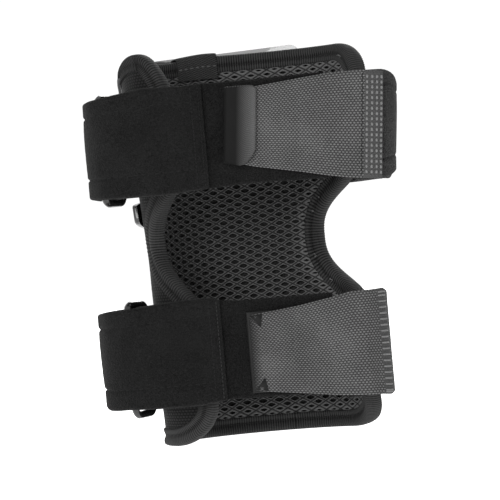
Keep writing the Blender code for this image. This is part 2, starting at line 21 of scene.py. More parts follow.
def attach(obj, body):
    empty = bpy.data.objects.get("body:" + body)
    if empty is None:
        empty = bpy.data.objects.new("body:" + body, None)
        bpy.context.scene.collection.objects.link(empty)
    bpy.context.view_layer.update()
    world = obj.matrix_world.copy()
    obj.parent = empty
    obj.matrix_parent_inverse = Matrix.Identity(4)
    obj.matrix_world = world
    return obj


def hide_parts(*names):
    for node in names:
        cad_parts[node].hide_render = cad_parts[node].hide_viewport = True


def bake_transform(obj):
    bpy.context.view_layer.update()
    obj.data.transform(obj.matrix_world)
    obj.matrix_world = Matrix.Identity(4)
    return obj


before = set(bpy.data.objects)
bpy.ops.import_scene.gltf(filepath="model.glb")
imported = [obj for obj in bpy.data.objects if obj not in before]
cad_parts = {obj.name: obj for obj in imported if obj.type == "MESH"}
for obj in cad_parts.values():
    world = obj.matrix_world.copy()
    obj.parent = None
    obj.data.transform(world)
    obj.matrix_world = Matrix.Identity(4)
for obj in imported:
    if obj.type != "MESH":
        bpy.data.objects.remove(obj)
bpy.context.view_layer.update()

MM = 0.001
SQUARE = ((-1, -1), (1, -1), (1, 1), (-1, 1))
OVAL_AXIS = np.array([3.32, -0.70, 0.0])

# The sleeve, as the CAD has it.
HEIGHT = 155.5
WRIST_HALF_WIDTH, HAND_EXTRA_WIDTH = 40.8, 7.2
WRIST_HALF_DEPTH, HAND_EXTRA_DEPTH = 26.5, 2.5
FLARE_START, FLARE_POWER = 50.0, 1.6
LEFT_WIDTH, LEFT_SLANT = 84.8, 0.035
WAIST_DEPTH, WAIST_HEIGHT, WAIST_REACH = 22.4, 79.8, 35.0
RIGHT_NOTCH, RIGHT_WIDTH, RIGHT_SLANT = 28.0, 60.5, 0.05
NOTCH_HEIGHT, NOTCH_REACH, NOTCH_POWER = 78.5, 26.9, 2.7
TOP_LEFT, BOTTOM_LEFT = (11.3, 22.0), (21.0, 16.0)
TOP_RIGHT, BOTTOM_RIGHT = (26.5, 60.0), (24.5, 24.0)
LEFT_BEND, RIGHT_BEND = math.radians(-96), math.radians(52)

# How its soft edges differ from that: the left flap's two ends, and the hand-end edge behind it.
SHOULDER_START, SHOULDER_WIDTH, SHOULDER_DEPTH, SHOULDER_HEIGHT = 51.6, 8.5, 9.0, 128.0
SHOULDER_BULGE = 1.1
HEEL_START, HEEL_WIDTH, HEEL_RISE, HEEL_HEIGHT = 42.0, 4.5, 3.0, 8.0
DROOP, DROOP_HEIGHT = 1.9, 138.0

# Where the sleeve's pieces meet: down the back under the shell, and across at the notch.
SEAM = 10.0

# The layers of its wall, as d of their inner and outer faces at the bound edge.
LINING_IN, LINING_OUT = -2.82, -1.9
FOAM_IN, FOAM_OUT = -1.45, 1.45
COVER_IN, COVER_OUT = 1.75, 2.45
SLEEVE_OUTSIDE = 2.85
BINDING_WIDTH = 7.0

# The straps, as the CAD has them, but for the loop bands, which reach further under the tapes.
STRAP_HEIGHTS = {"upper": 119.0, "lower": 34.5}
STRAP_WIDTH, LOOP_WIDTH = 40.0, 38.4
STRAP_THICKNESS, LOOP_THICKNESS, BAND_THICKNESS, TAPE_THICKNESS = 3.0, 2.7, 1.3, 1.1
FOLDS = {"upper": (57.2, -15.0), "lower": (47.8, -15.0)}
BAND_START, BAND_ENDS = -19.4, {"upper": 30.0, "lower": 27.0}
RINGS = {
    "upper": ((-51.6, -6.2), (-58.2, -18.5)),
    "lower": ((-46.9, -6.2), (-53.4, -19.2)),
}


# ---------------------------------------------------------------- lines and curves


def smoothstep(low, high, value):
    t = np.clip((value - low) / (high - low), 0, 1)
    return t * t * (3 - 2 * t)


def swell(share, least=0.0):
    """Height of a round edge at shares of its radius, at least the square root of least."""
    return np.sqrt(np.clip(1 - (1 - np.clip(share, 0, 1)) ** 2, least, 1))


def round_corner(distance, radius=1.0):
    """How far a round corner stands back at distances from its end."""
    return radius * (1 - swell(distance / radius))


def unit(vectors):
    """The vectors at length 1."""
    return vectors / np.linalg.norm(vectors, axis=-1, keepdims=True)


def distances_along(line):
    """How far along a line each of its points is."""
    return np.concatenate([[0.0], np.cumsum(np.linalg.norm(np.diff(line, axis=0), axis=1))])


def points_along(places, at, line):
    """Points at places along a line whose own points are at these distances."""
    return np.stack([np.interp(places, at, column) for column in line.T], axis=1)


def unit_along(line):
    """The unit direction of a line at each of its points."""
    return unit(np.gradient(line, axis=0))


def right_of(ahead):
    """Directions in plan, turned a quarter to the right."""
    return np.stack([ahead[..., 1], -ahead[..., 0]], axis=-1)


def resample(line, step):
    """Points about this far apart along a line, ends included."""
    line = np.asarray(line, float)
    at = distances_along(line)
    return points_along(np.linspace(0, at[-1], max(2, round(at[-1] / step) + 1)), at, line)


def curve(points, steps=12):
    """A Catmull-Rom curve through the points."""
    points = np.asarray(points, float)
    ends = np.vstack([2 * points[0] - points[1], points, 2 * points[-1] - points[-2]])
    t = np.linspace(0, 1, steps, endpoint=False)[:, None]
    spans = []
    for p0, p1, p2, p3 in zip(ends, ends[1:], ends[2:], ends[3:]):
        spans.append(
            0.5 * (2 * p1 + (p2 - p0) * t + (2 * p0 - 5 * p1 + 4 * p2 - p3) * t**2
                   + (3 * p1 - p0 - 3 * p2 + p3) * t**3)
        )
    return np.vstack([*spans, points[-1:]])


# ---------------------------------------------------------------- the sleeve's pattern


def half_axes(z):
    """Half width and half depth of the padding's middle surface at the heights z."""
    flare = np.clip((z - FLARE_START) / (HEIGHT - FLARE_START), 0, None) ** FLARE_POWER
    return WRIST_HALF_WIDTH + HAND_EXTRA_WIDTH * flare, WRIST_HALF_DEPTH + HAND_EXTRA_DEPTH * flare


ANGLES = np.linspace(-math.pi, math.pi, 1441)
LEVELS = np.linspace(0.0, 165.0, 56)


def arc_lengths(z):
    """The distance s at each of ANGLES, at height z."""
    half_width, half_depth = half_axes(z)
    x, y = half_width * np.sin(ANGLES), half_depth * np.cos(ANGLES)
    distance = np.concatenate([[0.0], np.cumsum(np.hypot(np.diff(x), np.diff(y)))])
    return distance - distance[len(ANGLES) // 2]


ARCS = [arc_lengths(z) for z in LEVELS]


def angle_at(s, z):
    """The angle round the oval at each place of the pattern."""
    s, z = np.broadcast_arrays(np.asarray(s, float), np.asarray(z, float))
    level = np.clip(z / (LEVELS[1] - LEVELS[0]), 0, len(LEVELS) - 1.001)
    below = level.astype(int)
    share = level - below
    angle = np.empty(s.shape)
    for k in np.unique(below):
        at = below == k
        low = np.interp(s[at], ARCS[k], ANGLES)
        high = np.interp(s[at], ARCS[k + 1], ANGLES)
        angle[at] = low * (1 - share[at]) + high * share[at]
    return angle


def wrap(s, z, d=0.0):
    """Points of the sleeve, d outside the padding's middle surface.

    The left flap's soft hand end slopes down as a shoulder, its wrist end rounds up as a
    heel, and the hand-end edge droops behind it.
    """
    s, z, d = np.broadcast_arrays(*(np.asarray(v, float) for v in (s, z, d)))
    angle = angle_at(s, z)
    half_width, half_depth = half_axes(z)
    out_x, out_y = np.sin(angle) / half_width, np.cos(angle) / half_depth
    length = np.hypot(out_x, out_y)
    x = half_width * np.sin(angle) + d * out_x / length
    y = half_depth * np.cos(angle) + d * out_y / length
    reach = np.clip(1 - (x + SHOULDER_START) / SHOULDER_WIDTH, 0, 1)
    heel = np.clip((-HEEL_START - x) / HEEL_WIDTH, 0, 1) ** 3
    fallen = SHOULDER_DEPTH * (1 - np.sqrt(1 - reach**2)) * smoothstep(SHOULDER_HEIGHT, HEIGHT, z)
    fallen += DROOP * smoothstep(-14, -34, x) * smoothstep(2, 14, y) * smoothstep(DROOP_HEIGHT, HEIGHT, z)
    fallen -= HEEL_RISE * heel * smoothstep(HEEL_HEIGHT, 0, z)
    x = x + SHOULDER_BULGE * reach**0.5 * smoothstep(SHOULDER_HEIGHT, SHOULDER_HEIGHT + 20, z)
    return np.stack([x, y, z - fallen], axis=-1)


def bend_at(angle, z):
    """The s of one of the sleeve's bends at height z."""
    return float(np.interp(angle, ANGLES, arc_lengths(z)))


def corner_cut(z, top, bottom):
    """What round corners take off a side edge at the heights z."""
    cut = np.zeros_like(z)
    for (width, height), from_end in ((top, HEIGHT - z), (bottom, z)):
        cut = np.maximum(cut, width * round_corner(from_end / height))
    return cut


def left_edge(z):
    z = np.asarray(z, float)
    away = np.clip((z - WAIST_HEIGHT) / WAIST_REACH, -1, 1)
    waist = WAIST_DEPTH * 0.5 * (1 + np.cos(math.pi * away))
    return -LEFT_WIDTH - LEFT_SLANT * z + waist + corner_cut(z, TOP_LEFT, BOTTOM_LEFT)


def right_edge(z):
    z = np.asarray(z, float)
    notch = 1 - np.exp(-np.abs((z - NOTCH_HEIGHT) / NOTCH_REACH) ** NOTCH_POWER)
    plain = RIGHT_NOTCH + (RIGHT_WIDTH + RIGHT_SLANT * z - RIGHT_NOTCH) * notch
    return plain - corner_cut(z, TOP_RIGHT, BOTTOM_RIGHT)


class Outline:
    """The sleeve's edge as one closed line on the pattern, anticlockwise from its seam."""

    def __init__(self):
        z = HEIGHT * (1 - np.cos(np.linspace(0, math.pi, 1601))) / 2
        right, left = right_edge(z), left_edge(z)
        spans = [
            (np.linspace(SEAM, right[0], 120), 0.0), (right, z),
            (np.linspace(right[-1], left[-1], 400), HEIGHT), (left[::-1], z[::-1]),
            (np.linspace(left[0], SEAM, 300), 0.0),
        ]
        line = np.concatenate([np.stack(np.broadcast_arrays(*span), axis=1) for span in spans])
        keep = np.r_[True, np.hypot(*np.diff(line, axis=0).T) > 1e-6]
        self.line = line[keep]
        steps = np.hypot(*np.diff(self.line, axis=0).T)
        self.at = np.concatenate([[0.0], np.cumsum(steps)])
        self.length = self.at[-1]
        on_right = (self.line[:, 0] > SEAM) & (self.line[:, 1] > 1) & (self.line[:, 1] < 150)
        notch = np.argmin(np.abs(self.line[:, 1] - NOTCH_HEIGHT) + 1e3 * ~on_right)
        top = np.argmin(np.abs(self.line[:, 0] - SEAM) + 1e3 * (self.line[:, 1] < HEIGHT - 1))
        self.notch, self.top = self.at[notch], self.at[top]
        points = self.points(np.arange(0, self.length, 0.5))
        self.tree = kdtree.KDTree(len(points))
        for i, (s, height) in enumerate(points):
            self.tree.insert((s, height, 0), i)
        self.tree.balance()

    def points(self, at):
        return points_along(np.mod(at, self.length), self.at, self.line)

    def inward(self, at):
        """Unit vectors into the sleeve, across the edge."""
        along = unit(self.points(at + 0.6) - self.points(at - 0.6))
        return np.stack([-along[:, 1], along[:, 0]], axis=1)

    def distance(self, s, z):
        """How far places of the pattern are from the edge."""
        s, z = np.broadcast_arrays(s, z)
        found = [self.tree.find((a, b, 0))[2] for a, b in zip(s.ravel(), z.ravel())]
        return np.array(found).reshape(s.shape)


OUTLINE = Outline()


# ---------------------------------------------------------------- making meshes


def wobble(points, size, amount, seed=0.0):
    """Smooth noise of about this amount at each point, with lumps about size across."""
    flat = np.asarray(points, float).reshape(-1, 3)
    found = [noise.noise(Vector(p / size) + Vector((seed, seed, seed))) for p in flat]
    return amount * np.array(found).reshape(np.asarray(points).shape[:-1])


def grid_faces(rows, columns, start=0, loop=False):
    """Quads over a grid of points; loop also joins the last column to the first."""
    r, c = np.meshgrid(np.arange(rows - 1), np.arange(columns - (not loop)), indexing="ij")
    r, c = r.ravel(), c.ravel()
    after = (c + 1) % columns
    corners = (r * columns + c, r * columns + after, (r + 1) * columns + after, (r + 1) * columns + c)
    return np.stack(corners, axis=1) + start


def slab_faces(rows, columns):
    """Faces of a closed slab: a front grid of points, a back grid like it, and a rim."""
    size = rows * columns
    index = np.arange(size).reshape(rows, columns)
    rim = np.concatenate([index[0], index[1:, -1], index[-1, -2::-1], index[-2:0:-1, 0]])
    after = np.roll(rim, -1)
    sides = np.stack([rim, after, after + size, rim + size], axis=1)
    return np.concatenate([grid_faces(rows, columns), grid_faces(rows, columns, size), sides])


class Shape:
    """Points, faces, pattern coordinates and material numbers gathered for one mesh."""

    def __init__(self):
        self.points, self.faces, self.uv, self.paint, self.count = [], [], [], [], 0

    def add(self, points, faces, uv=None, paint=0):
        points = np.asarray(points, float).reshape(-1, 3)
        uv = np.zeros((len(points), 2)) if uv is None else np.asarray(uv, float).reshape(-1, 2)
        self.points.append(points)
        self.uv.append(uv)
        self.faces += [tuple(int(i) + self.count for i in face) for face in faces]
        self.paint += [paint] * len(faces)
        self.count += len(points)
        return self


def slab(front, back, u, v):
    """A closed slab between two grids of points, which share the cloth coordinates u and v."""
    uv = np.stack(np.broadcast_arrays(u, v), axis=-1).reshape(-1, 2)
    points = np.concatenate([front.reshape(-1, 3), back.reshape(-1, 3)])
    return Shape().add(points, slab_faces(*front.shape[:2]), np.vstack([uv, uv]))


def link_object(name, data):
    obj = bpy.data.objects.new(name, data)
    bpy.context.scene.collection.objects.link(obj)
    return obj


def mesh_object(name, shape, materials, sharp=None):
    """The shape as an object in the row frame, its UV map in millimetres of cloth."""
    points = (np.concatenate(shape.points) + OVAL_AXIS) * MM
    mesh = bpy.data.meshes.new(name)
    mesh.from_pydata(points.tolist(), [], shape.faces)
    mesh.polygons.foreach_set("material_index", shape.paint)
    bm = bmesh.new()
    bm.from_mesh(mesh)
    bmesh.ops.recalc_face_normals(bm, faces=bm.faces)
    bm.to_mesh(mesh)
    bm.free()
    corners = np.empty(len(mesh.loops), int)
    mesh.loops.foreach_get("vertex_index", corners)
    mesh.uv_layers.new(name="Cloth").data.foreach_set("uv", np.concatenate(shape.uv)[corners].ravel())
    mesh.shade_smooth()
    if sharp:
        mesh.set_sharp_from_angle(angle=math.radians(sharp))
    for made in materials:
        mesh.materials.append(made)
    return link_object(name, mesh)


def add_stitches(shape, line, out, pitch=2.7, length=2.0, radius=0.2, paint=1):
    """A row of thread stitches lying on a line, half sunk, out being the surface's normals."""
    line, out = np.asarray(line, float), np.asarray(out, float)
    at = distances_along(line)
    count = int(at[-1] // pitch)
    if count < 1:
        return
    middles = (np.arange(count) + 0.5) * at[-1] / count
    turns = np.linspace(0, 2 * math.pi, 7)[:-1]
    rings = []
    for along, size in ((-0.5, 0.35), (-0.36, 0.9), (0.0, 1.05), (0.36, 0.9), (0.5, 0.35)):
        where = middles + along * length
        up = unit(points_along(where, at, out))
        ahead = points_along(where + 0.1, at, line) - points_along(where - 0.1, at, line)
        side = unit(np.cross(ahead, up))
        sink = radius * (0.1 if abs(along) < 0.4 else -0.9)
        middle = points_along(where, at, line)[:, None] + up[:, None] * sink
        around = side[:, None] * np.cos(turns)[None, :, None] + up[:, None] * np.sin(turns)[None, :, None]
        rings.append(middle + radius * size * around)
    block = np.stack(rings, axis=1)
    for stitch in block:
        faces = list(grid_faces(5, 6, loop=True)) + [tuple(range(5, -1, -1)), tuple(range(24, 30))]
        shape.add(stitch, faces, paint=paint)


# ---------------------------------------------------------------- materials


class Nodes:
    """A short way to write a material's nodes."""

    def __init__(self, name, roughness=0.8, specular=0.3, sheen=0.0, metallic=0.0, coat=0.0,
                 coat_roughness=0.03):
        self.material = bpy.data.materials.new(name)
        self.material.use_nodes = True
        self.tree = self.material.node_tree
        self.shader = self.tree.nodes["Principled BSDF"]
        settings = {
            "Roughness": roughness, "Specular IOR Level": specular, "Metallic": metallic,
            "Sheen Weight": sheen, "Coat Weight": coat, "Coat Roughness": coat_roughness,
        }
        for socket, value in settings.items():
            self.shader.inputs[socket].default_value = value

    def add(self, kind, inputs=(), **settings):
        made = self.tree.nodes.new(kind)
        for key, value in settings.items():
            setattr(made, key, value)
        for key, value in dict(inputs).items():
            if isinstance(value, bpy.types.NodeSocket):
                self.tree.links.new(value, made.inputs[key])
            else:
                made.inputs[key].default_value = value
        return made

    def math(self, operation, a, b=0.0, c=0.0):
        return self.add("ShaderNodeMath", {0: a, 1: b, 2: c}, operation=operation).outputs[0]

    def total(self, *terms):
        """The sum of (value - middle) * weight over terms (value, weight[, middle])."""
        total = None
        for value, weight, middle in ((*term, 0.0)[:3] for term in terms):
            value = value if middle == 0 else self.math("SUBTRACT", value, middle)
            value = value if weight == 1 else self.math("MULTIPLY", value, weight)
            total = value if total is None else self.math("ADD", total, value)
        return total

    def cloth(self):
        """The two cloth coordinates, in millimetres."""
        cloth = self.add("ShaderNodeUVMap", uv_map="Cloth").outputs[0]
        split = self.add("ShaderNodeSeparateXYZ", {0: cloth})
        return split.outputs[0], split.outputs[1]

    def place(self):
        return self.add("ShaderNodeTexCoord").outputs["Object"]

    def noise(self, scale, detail=3.0, roughness=0.55, vector=None):
        """Noise of this many lumps a metre."""
        inputs = {"Vector": vector or self.place(), "Scale": scale, "Detail": detail, "Roughness": roughness}
        return self.add("ShaderNodeTexNoise", inputs).outputs["Fac"]

    def between(self, value, low, high, new_low=0.0, new_high=1.0):
        inputs = {0: value, 1: low, 2: high, 3: new_low, 4: new_high}
        return self.add("ShaderNodeMapRange", inputs).outputs[0]

    def mix(self, factor, a, b):
        return self.add("ShaderNodeMix", {0: factor, 6: a, 7: b}, data_type="RGBA").outputs[2]

    def lint(self, colour, tone, scale, least, share):
        """The colour with specks of paler lint scattered over it."""
        specks = self.between(self.noise(scale, 1), least, 0.80)
        return self.mix(self.math("MULTIPLY", specks, share), colour, grey(tone))

    def bump(self, height, distance, strength=1.0, below=None):
        inputs = {"Height": height, "Distance": distance, "Strength": strength}
        if below is not None:
            inputs["Normal"] = below
        return self.add("ShaderNodeBump", inputs).outputs[0]

    def finish(self, colour, normal=None, roughness=None):
        for socket, value in (("Base Color", colour), ("Normal", normal), ("Roughness", roughness)):
            if value is not None:
                self.tree.links.new(value, self.shader.inputs[socket])
        return self.material


def grey(value):
    return (value, value, value, 1.0)


def dots(nodes, pitch_u, pitch_v):
    """Height of a close weave seen as staggered floats of yarn, from 0 to 1."""
    u, v = nodes.cloth()
    v = nodes.math("MULTIPLY", v, 1 / pitch_v)
    odd = nodes.math("MODULO", nodes.math("ABSOLUTE", nodes.math("FLOOR", v)), 2.0)
    u = nodes.total((u, 1 / pitch_u), (odd, 0.5))
    from_u = nodes.math("SUBTRACT", nodes.math("FRACT", u), 0.5)
    from_v = nodes.math("SUBTRACT", nodes.math("FRACT", v), 0.5)
    square = nodes.total((from_u, from_u), (from_v, from_v))
    return nodes.between(square, 0.22, 0.0)


def woven(name, dark, light, pitch, bump=0.12, roughness=0.8, specular=0.1, wear=0.25, fades=()):
    """Woven cloth, lighter on its floats, with uneven dye and a little lint.

    Each of fades is (from, to, colour): two places along the cloth, which has the colour on
    the first one's side and none of it on the second one's.
    """
    n = Nodes(name, roughness=roughness, specular=specular, sheen=0.02)
    height = dots(n, *pitch)
    cloudy = n.noise(55, 4)
    fine = n.noise(2600, 2)
    tone = n.total((height, 1), (fine, 0.9, 0.5), (cloudy, wear * 2, 0.5))
    colour = n.mix(n.between(tone, 0.05, 1.1), grey(dark), grey(light))
    colour = n.lint(colour, light * 1.8, 900, 0.76, 0.25)
    for low, high, value in fades:
        colour = n.mix(n.between(n.cloth()[0], low, high, 1.0, 0.0), colour, grey(value))
    surface = n.bump(n.total((height, 1), (fine, 0.35)), bump * MM)
    return n.finish(colour, surface, n.between(cloudy, 0.3, 0.7, roughness - 0.06, roughness + 0.06))


def brushed(name, dark, light, nap, grain):
    """Brushed or looped pile: matte and felted, with patches where the nap lies over."""
    n = Nodes(name, roughness=0.92, sheen=0.04, specular=0.05)
    fibres = n.noise(grain, 5, 0.7)
    pile = n.add("ShaderNodeTexVoronoi", {"Vector": n.place(), "Scale": grain * 0.8}).outputs["Distance"]
    patches = n.noise(70, 3)
    tone = n.total((fibres, 1), (patches, 0.15, 0.5))
    colour = n.mix(n.between(tone, 0.36, 0.66), grey(dark), grey(light))
    colour = n.lint(colour, light * 3, 1100, 0.775, 0.3)
    surface = n.bump(n.total((fibres, 1), (pile, 0.7)), nap * MM, below=n.bump(patches, 0.3 * MM, 0.5))
    return n.finish(colour, surface)


def knitted(name):
    """The lining's knit: a pale yarn round each hole, the valleys between the cells painted dark as painted
    shade, and painted shade towards the left.
    """
    n = Nodes(name, roughness=0.7, sheen=0.03, specular=0.12)
    s, z = n.cloth()
    along = n.math("MULTIPLY", s, 1 / MESH_PITCH[0])
    up = n.total((z, 1 / MESH_PITCH[1], MESH_START))
    ways = []
    for operation in ("ADD", "SUBTRACT"):
        turned = n.math("FRACT", n.math("ADD", n.math(operation, along, up), 0.5))
        ways.append(n.math("ABSOLUTE", n.math("SUBTRACT", turned, 0.5)))
    valley = n.math("MAXIMUM", *ways)
    strand = n.math("SINE", n.math("MULTIPLY", n.total((s, 1), (z, 1.4)), 2 * math.pi / 0.55))
    fine = n.noise(3000, 2)
    # Painted shade: the valleys between the cells are painted dark, where the knit dips between the strands
    # round the holes.
    yarn = n.between(valley, 0.46, 0.35)
    tone = n.total((yarn, 0.75), (strand, 0.07), (fine, 0.7, 0.4))
    # Painted shade: darker towards the left, from s = -18 mm to -66 mm, where the lining lies deep under the
    # left flap.
    deep = n.between(s, -66.0, -18.0, 0.30, 0.0)
    colour = n.mix(n.between(n.math("SUBTRACT", tone, deep), 0.0, 1.0), grey(0.004), grey(0.105))
    surface = n.bump(n.total((strand, 0.4), (fine, 1)), 0.07 * MM)
    return n.finish(colour, surface)


def ribbed(name, dark, light):
    """Binding tape: fine weft over ribs that the mesh itself has, painted lighter on the ribs' crests and
    darker between them and along the stitched valley, as painted light and shade.
    """
    n = Nodes(name, roughness=0.8, sheen=0.02, specular=0.1)
    u, v = n.cloth()
    turned = n.total((u, 2 * math.pi / RIB_PITCH, RIB_PITCH / 2))
    # Painted light and shade: lighter on each rib's crest, darker between, in step with the ribs of the mesh.
    rib_light_and_shade = n.math("MULTIPLY_ADD", n.math("COSINE", turned), 0.5, 0.5)
    weft = n.math("ABSOLUTE", n.math("SINE", n.math("MULTIPLY", v, math.pi / 0.5)))
    fine = n.noise(2400, 3)
    cloudy = n.noise(60, 3)
    tone = n.total((rib_light_and_shade, 0.75), (weft, 0.12), (fine, 0.7, 0.35), (cloudy, 0.5, 0.5))
    # Painted shade: darker along the stitched valley across the tape, about 3.2 mm in from its nearer edge.
    valley_painted_shade = n.between(n.math("ABSOLUTE", n.math("SUBTRACT", v, 3.2)), 0.3, 1.3, 0.30, 0.0)
    tone = n.math("SUBTRACT", tone, valley_painted_shade)
    colour = n.mix(n.between(tone, 0.1, 1.0), grey(dark), grey(light))
    surface = n.bump(n.math("ADD", weft, fine), 0.06 * MM)
    return n.finish(colour, surface)


def foam(name):
    """Open-cell foam seen through the lining's holes."""
    n = Nodes(name, roughness=1.0, specular=0.05)
    cells = n.add("ShaderNodeTexVoronoi", {"Vector": n.place(), "Scale": 1400.0}).outputs["Distance"]
    colour = n.mix(n.between(cells, 0.1, 0.7), grey(0.008), grey(0.020))
    return n.finish(colour, n.bump(cells, 0.25 * MM))


def moulded(name, value, roughness, scratches=0.5, rim=None):
    """Glossy moulded plastic with a trace of orange peel, scuffs and fine scratches.

    rim is (height in metres, colour): above the height, the moulding's top rim is painted pale, a painted
    highlight where the glossy edge catches the light.
    """
    n = Nodes(name, roughness=roughness, specular=0.45, coat=0.2, coat_roughness=0.08)
    scuffs = n.noise(120, 6, 0.7)
    stretched = n.add("ShaderNodeMapping", {
        "Vector": n.place(), "Scale": (900.0, 60.0, 90.0), "Rotation": (0.3, 0.2, 0.9),
    })
    lines = n.between(n.noise(1.0, 4, 0.7, stretched.outputs[0]), 0.66, 0.72)
    dull = n.total((n.between(scuffs, 0.5, 0.8, roughness, roughness + 0.2), 1), (lines, scratches * 0.4))
    colour = n.mix(n.math("MULTIPLY", lines, scratches), grey(value), grey(value * 3))
    if rim:
        # Painted highlight: above the rim height the colour turns pale, standing in for light caught on the
        # glossy top edge.
        height = n.add("ShaderNodeSeparateXYZ", {0: n.place()}).outputs[2]
        painted_highlight_height = n.total((height, 1), (scuffs, 0.0016, 0.5))
        colour = n.mix(n.between(painted_highlight_height, rim[0] - 0.0003, rim[0] + 0.0003), colour, grey(rim[1]))
    peel = n.bump(n.noise(260, 2), 0.05 * MM, 0.6)
    return n.finish(colour, n.bump(lines, -0.02 * MM, 0.5, peel), dull)


def metal(name):
    """Turned aluminium with light brushing."""
    n = Nodes(name, roughness=0.3, metallic=1.0)
    brush = n.noise(1600, 4)
    wear = n.noise(300, 3)
    colour = n.mix(n.between(brush, 0.3, 0.7), grey(0.30), grey(0.42))
    return n.finish(colour, n.bump(brush, 0.02 * MM), n.between(wear, 0.35, 0.7, 0.24, 0.45))


def thread(name, value):
    """Twisted sewing thread."""
    n = Nodes(name, roughness=0.7, specular=0.15)
    twist = n.add("ShaderNodeTexWave", {"Vector": n.place(), "Scale": 900.0, "Distortion": 1.5})
    colour = n.mix(twist.outputs["Fac"], grey(value * 0.6), grey(value))
    return n.finish(colour, n.bump(twist.outputs["Fac"], 0.05 * MM))


MESH_PITCH, MESH_START = (6.9, 3.6), 0.3
HOLE = (1.88, 0.93)
RIB_PITCH = 1.05

LINING = knitted("lining_knit")
FOAM = foam("padding_foam")
COVER = woven("cover_nylon", 0.001, 0.019, (1.5, 1.13), bump=0.16, roughness=0.75)
BINDING = ribbed("binding_tape", 0.0005, 0.038)
STRAP = brushed("strap_nap", 0.001, 0.0135, nap=0.4, grain=2100)
# A lighter copy of the strap nap: the upper hook strap wears it as painted light, the lower one the plain
# nap.
STRAP_PAINTED_LIT = brushed("strap_nap_painted_lit", 0.004, 0.046, nap=0.4, grain=2000)
BAND = brushed("loop_pile", 0.0, 0.013, nap=0.6, grain=2000)
WEBBING = woven("anchor_webbing", 0.006, 0.022, (1.1, 0.8), bump=0.2)
TAB = woven("tab_weave", 0.008, 0.052, (2.0, 0.45), bump=0.15)
TIP = woven("tab_satin", 0.004, 0.009, (0.9, 0.4), bump=0.03, roughness=0.6, specular=0.15)
# The folded upper tab: black near its fold, and pale grey further on, a painted sheen where it curves towards
# the light.
TAB_PAINTED_SHEEN = woven("folded_tab_painted_sheen", 0.06, 0.16, (0.9, 0.4), bump=0.04, roughness=0.6, specular=0.06,
                 fades=[(5.2, 15.0, 0.004)])
HOOKS = woven("hook_plastic", 0.03, 0.05, (1.0, 1.0), roughness=0.5, specular=0.4)
PLASTIC = moulded("ring_plastic", 0.008, 0.14, 0.2)
# The shell's top rim is painted pale above 155 mm, a painted highlight on its glossy edge.
SHELL = moulded("shell_plastic", 0.009, 0.20, rim=(0.1550, 0.26))
RIVET = metal("rivet_metal")
THREAD = thread("black_thread", 0.009)
PALE_THREAD = thread("grey_thread", 0.16)
# Black thread painted a little lighter, a painted sheen on its stitches.
SHEEN_THREAD = thread("thread_painted_sheen", 0.030)
TAB_THREAD = thread("tab_thread", 0.085)


# ---------------------------------------------------------------- riding on the frame


def bend_line(angle, z, towards):
    """Two points either side of a bend of the sleeve, in the row frame in metres."""
    ends = wrap(bend_at(angle, z) + np.array([-5.0, 5.0]) * towards, z)
    return [tuple((p + OVAL_AXIS) * MM) for p in ends]


FLAPS = {
    "left": ("left_flap", bend_line(LEFT_BEND, 78.0, -1)),
    "hand": ("hand_end_flap", bend_line(RIGHT_BEND, 115.0, 1)),
    "wrist": ("wrist_end_flap", bend_line(RIGHT_BEND, 30.0, 1)),
}


def join_flap(obj, part, slot, *nodes):
    """A sleeve piece that reaches from the back into one flap, its transform baked in, in place of the CAD
    nodes that it hides.
    """
    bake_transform(obj)
    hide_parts(*nodes)


def stand_in(obj, body, slot, *nodes):
    """A piece that takes the place of CAD nodes and rides on one body."""
    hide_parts(*nodes)
    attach(obj, body)


# ---------------------------------------------------------------- the sleeve

PART_BODIES = {"left": ("back", "left_flap"), "hand": ("hand_end_flap",), "wrist": ("wrist_end_flap",)}


def part_bounds(part, rows):
    """Heights, left ends and right ends of one part of the sleeve's pattern."""
    ease = (1 - np.cos(np.linspace(0, math.pi, rows))) / 2
    if part == "left":
        z = HEIGHT * ease
        return z, left_edge(z), np.full(rows, SEAM)
    low, high = (NOTCH_HEIGHT, HEIGHT) if part == "hand" else (0.0, NOTCH_HEIGHT)
    z = low + (high - low) * ease
    return z, np.full(rows, SEAM), right_edge(z)


def layer(name, part, inner, outer, inset, step, material):
    """A closed layer of one part of the sleeve.

    inner and outer give d at each place and its distance from the edge, and inset is how
    far the layer's rim stays from the edge.
    """
    rows = round((HEIGHT if part == "left" else HEIGHT / 2) / step)
    z, left, right = part_bounds(part, rows)
    columns = round((right - left).max() / step)
    s = left[:, None] + (right - left)[:, None] * np.linspace(0, 1, columns)
    height = np.repeat(z[:, None], columns, axis=1)
    depth = OUTLINE.distance(s, height)
    nearer = np.clip(inset - depth, 0, None)
    toward = unit(np.stack([-s, HEIGHT / 2 - height], axis=-1))
    s, height = s + toward[..., 0] * nearer, height + toward[..., 1] * nearer
    s[:, -1 if part == "left" else 0] = SEAM
    if part != "left":
        height[0 if part == "hand" else -1] = NOTCH_HEIGHT
    outside, inside = (wrap(s, height, d(s, height, depth)) for d in (outer, inner))
    return mesh_object(name, slab(outside, inside, s, height), [material], sharp=60)


def puff(depth):
    """How far the padding swells away from the bound edge."""
    return smoothstep(4, 22, depth)


def build_layers():
    """The padding and the cover of each part of the sleeve."""
    for part, bodies in PART_BODIES.items():
        filling = layer(
            f"{part}_padding", part,
            lambda s, z, e: FOAM_IN - 0.45 * puff(e), lambda s, z, e: FOAM_OUT + 0.25 * puff(e),
            1.6, 3.0, FOAM,
        )
        join_flap(filling, part, "foam", *[f"{body}_foam" for body in bodies])
        cover = layer(
            f"{part}_cover", part,
            lambda s, z, e: COVER_IN + 0.25 * puff(e),
            lambda s, z, e: COVER_OUT + 0.35 * puff(e) + wobble(np.stack([s, z, 0 * s], -1), 14, 0.18),
            1.2, 1.6, COVER,
        )
        join_flap(cover, part, "cover", *[f"{body}_cover" for body in bodies])


